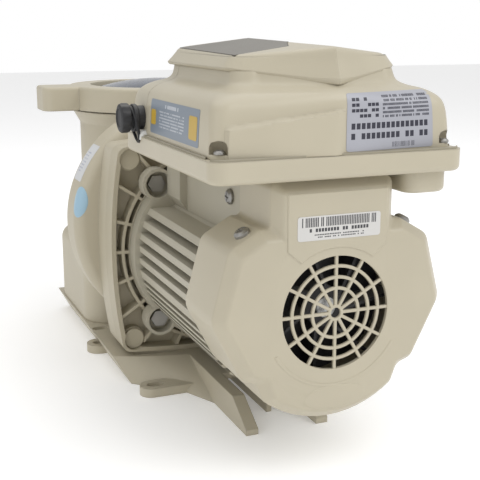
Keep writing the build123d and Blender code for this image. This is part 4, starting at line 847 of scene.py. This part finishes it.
# -------------------- labels
# Printed film labels, a quarter of a millimetre thick, laid on the mouldings. The print is only plain
# bars and blocks: no words, marks or numbers.
print_block, block_in, block_out = new_group(
    "print_block", [("Left", "Float", 0.1), ("Right", "Float", 0.9), ("Bottom", "Float", 0.1),
                    ("Top", "Float", 0.9), ("Rows", "Float", 4.0), ("Columns", "Float", 20.0),
                    ("Fill", "Float", 0.7), ("Weight", "Float", 0.6), ("Cell Share", "Float", 0.8)],
    [("Ink", "Float")])
page = put(print_block, "ShaderNodeUVMap", uv_map="page")
page_axes = put(print_block, "ShaderNodeSeparateXYZ")
wire(print_block, (page, "UV", page_axes, 0))


def calc(tree, operation, *inputs):
    """Math node fed by sockets or plain numbers; returns its output."""
    node = put(tree, "ShaderNodeMath", operation=operation)
    for socket, value in zip(node.inputs, inputs):
        if isinstance(value, (int, float)):
            socket.default_value = value
        else:
            tree.links.new(value, socket)
    return node.outputs[0]


def ink_calc(operation, *inputs):
    """Math node of the printed block."""
    return calc(print_block, operation, *inputs)


def across_block(axis, low, high):
    """Position within the block, 0 to 1 from one side to the other, and whether a point is inside it."""
    low, high = block_in.outputs[low], block_in.outputs[high]
    from_low = ink_calc("SUBTRACT", page_axes.outputs[axis], low)
    place = ink_calc("DIVIDE", from_low, ink_calc("SUBTRACT", high, low))
    past_low, before_high = ink_calc("GREATER_THAN", place, 0.0), ink_calc("LESS_THAN", place, 1.0)
    return place, ink_calc("MULTIPLY", past_low, before_high)


u_place, u_inside = across_block("X", "Left", "Right")
v_place, v_inside = across_block("Y", "Bottom", "Top")
row_line = ink_calc("MULTIPLY", v_place, block_in.outputs["Rows"])
cell_line = ink_calc("MULTIPLY", u_place, block_in.outputs["Columns"])
in_row = ink_calc("ABSOLUTE", ink_calc("SUBTRACT", ink_calc("FRACT", row_line), 0.5))
bar_mask = ink_calc("LESS_THAN", in_row, ink_calc("MULTIPLY", block_in.outputs["Weight"], 0.5))
cell_gap = ink_calc("LESS_THAN", ink_calc("FRACT", cell_line), block_in.outputs["Cell Share"])
cell_spot = put(print_block, "ShaderNodeCombineXYZ")
cell_noise = put(print_block, "ShaderNodeTexWhiteNoise", noise_dimensions="2D")
print_block.links.new(ink_calc("FLOOR", cell_line), cell_spot.inputs["X"])
print_block.links.new(ink_calc("FLOOR", row_line), cell_spot.inputs["Y"])
wire(print_block, (cell_spot, 0, cell_noise, "Vector"))
ink = ink_calc("LESS_THAN", cell_noise.outputs["Value"], block_in.outputs["Fill"])
for mask in (bar_mask, cell_gap, u_inside, v_inside):
    ink = ink_calc("MULTIPLY", ink, mask)
print_block.links.new(ink, block_out.inputs["Ink"])


def label_material(name, paper, ink_color, blocks=()):
    """Printed film: paper colour, ink colour and its blocks of plain bars."""
    material, tree, shader = new_material(name, Roughness=0.35)
    surface = put(tree, "ShaderNodeGroup", node_tree=skin, Color=(*paper, 1), Clouding=0.05, Dust=0.05)
    printing = put(tree, "ShaderNodeMix", data_type="RGBA", Factor=0.0, B=(*ink_color, 1))
    wire(tree, (surface, "Color", printing, "A"), (printing, "Result", shader, "Base Color"))
    total = 0.0
    for left, right, bottom, top, rows, columns, fill, weight, cell_share in blocks:
        printed = put(tree, "ShaderNodeGroup", node_tree=print_block, Left=left, Right=right, Bottom=bottom,
                      Top=top, Rows=rows, Columns=columns, Fill=fill, Weight=weight, Cell_Share=cell_share)
        total = calc(tree, "MAXIMUM", total, printed.outputs["Ink"])
    if blocks:
        tree.links.new(total, printing.inputs["Factor"])
    return material


throw = 60              # start of the ray outside the surface
film = 0.28             # thickness of a label


def sticker(name, middle, across, up, aim, surface, material, share=None, lift=0.0, radius=2.0, columns=24):
    """Label laid on a surface: its outline is thrown along aim, and share(v) narrows it at height v.
    Across and up are half sizes in millimetres."""
    ground = BVHTree.FromPolygons([vertex.co for vertex in surface.vertices],
                                  [polygon.vertices for polygon in surface.polygons])
    middle, across, up, aim = Vector(middle), Vector(across), Vector(up), Vector(aim).normalized()
    tall = 2 * up.length
    edge = [0, 0.15 * radius, 0.5 * radius, radius]
    rows_at = edge + [radius + (tall - 2 * radius) * k / 16 for k in range(1, 16)]
    rows_at += [tall - height for height in edge[::-1]]

    def narrowed(height):
        if share:
            return share(height / tall)
        short = max(radius - height, radius - (tall - height), 0)
        return 1 - (radius - math.sqrt(max(radius**2 - short**2, 0))) / across.length

    work = bmesh.new()
    page_layer = work.loops.layers.uv.new("page")
    top, under, places = [], [], {}
    for height in rows_at:
        for j in range(columns + 1):
            u = (2 * j / columns - 1) * narrowed(height)
            spot = middle + across * u + up * (2 * height / tall - 1)
            hit = ground.ray_cast((spot - aim * throw) * mm, aim, 1.0)[0]
            spot = hit / mm if hit else spot
            for side, out in ((top, film + lift), (under, -0.1)):
                vert = work.verts.new((spot - aim * out) * mm)
                side.append(vert)
                places[vert] = (0.5 + 0.5 * u, height / tall)
    wide = columns + 1
    faces = []
    for i in range(len(rows_at) - 1):
        for j in range(columns):
            a = i * wide + j
            faces.append([top[a], top[a + 1], top[a + wide + 1], top[a + wide]])
            faces.append([under[a], under[a + wide], under[a + wide + 1], under[a + 1]])
    border = (list(range(columns)) + [i * wide + columns for i in range(len(rows_at) - 1)]
              + [(len(rows_at) - 1) * wide + j for j in range(columns, 0, -1)]
              + [i * wide for i in range(len(rows_at) - 1, 0, -1)])
    for a, b in zip(border, border[1:] + border[:1]):
        faces.append([top[b], top[a], under[a], under[b]])
    for corners_of_face in faces:
        face = work.faces.new(corners_of_face)
        for loop in face.loops:
            loop[page_layer].uv = places[loop.vert]
    bmesh.ops.remove_doubles(work, verts=work.verts, dist=0.01 * mm)
    bmesh.ops.recalc_face_normals(work, faces=work.faces)
    piece(name, to_mesh(work), material, "display", angle=50)


def oval(v):
    """Share of the width of an oval at height v."""
    return max(math.sqrt(max(1 - (2 * v - 1)**2, 0)), 0.02)


cover_mesh = drive_cover.data
spec_film = label_material("spec_film", (0.37, 0.375, 0.415), (0.025, 0.025, 0.04), [
    (0.05, 0.36, 0.56, 0.94, 4, 7, 0.75, 0.6, 0.85), (0.4, 0.96, 0.55, 0.96, 6, 40, 0.88, 0.6, 0.75),
    (0.05, 0.95, 0.17, 0.52, 2, 16, 0.94, 0.6, 0.75), (0.5, 0.78, 0.04, 0.13, 1, 40, 0.85, 1.0, 0.5)])
sticker("spec_label", (39.5, y_rear + 6, shell_low.z + 21), (38, 0, 0), (0, 0, 20.5), (0, 1, 0), cover_mesh,
        spec_film, columns=36)
side_film = label_material("side_film", (0.19, 0.225, 0.27), (0.5, 0.52, 0.56), [
    (0.2, 0.72, 0.2, 0.72, 6, 34, 0.88, 0.45, 0.75), (0.32, 0.6, 0.78, 0.92, 1, 12, 0.9, 0.7, 0.75)])
amber_film = label_material("amber_film", (0.5, 0.33, 0.04), (0.03, 0.025, 0.01))
side_z = shell_low.z + 17
side_spot = (-100, y_rear + 97, side_z)
sticker("side_label", side_spot, (0, -57, 0), (0, 0, 13.5), (1, 0, 0), cover_mesh, side_film, columns=36)
for name, back, size in (("amber_patch_large", 52, 8.5), ("amber_patch_small", 146, 6.0)):
    sticker(name, (-100, y_rear + back, side_z - 0.5), (0, -size, 0), (0, 0, size), (1, 0, 0), cover_mesh,
            amber_film, lift=0.2)
neck_film = label_material("neck_film", (0.6, 0.59, 0.57), (0.04, 0.04, 0.045), [
    (0.05, 0.95, 0.56, 0.94, 1, 44, 0.93, 1.0, 0.62), (0.14, 0.86, 0.34, 0.5, 1, 20, 0.95, 0.9, 0.75),
    (0.2, 0.8, 0.08, 0.28, 2, 30, 0.85, 0.5, 0.75)])
sticker("neck_label", (0.7, y_face, shaft_z + 66), (33.8, 0, 0), (0, 0, 9), (0, 1, 0), fan_cover.data,
        neck_film, columns=30)
body_mesh = nodes["pump_body"].data
white_film = label_material("white_film", (0.6, 0.61, 0.62), (0.3, 0.32, 0.4), [
    (0.1, 0.6, 0.2, 0.8, 7, 16, 0.75, 0.4, 0.75)])
blue_film = label_material("blue_film", (0.33, 0.5, 0.62), (0.6, 0.65, 0.7))
sticker("belly_label", (-114, 37, 205), (0, -13, 0), (10, 0, 17), (17, 1, -10), body_mesh, white_film)
sticker("belly_oval", (-124, 19, 168), (5.5, -5.5, 0), (1.5, 0, 15), (8, 6.5, -0.9), body_mesh, blue_film,
        share=oval)
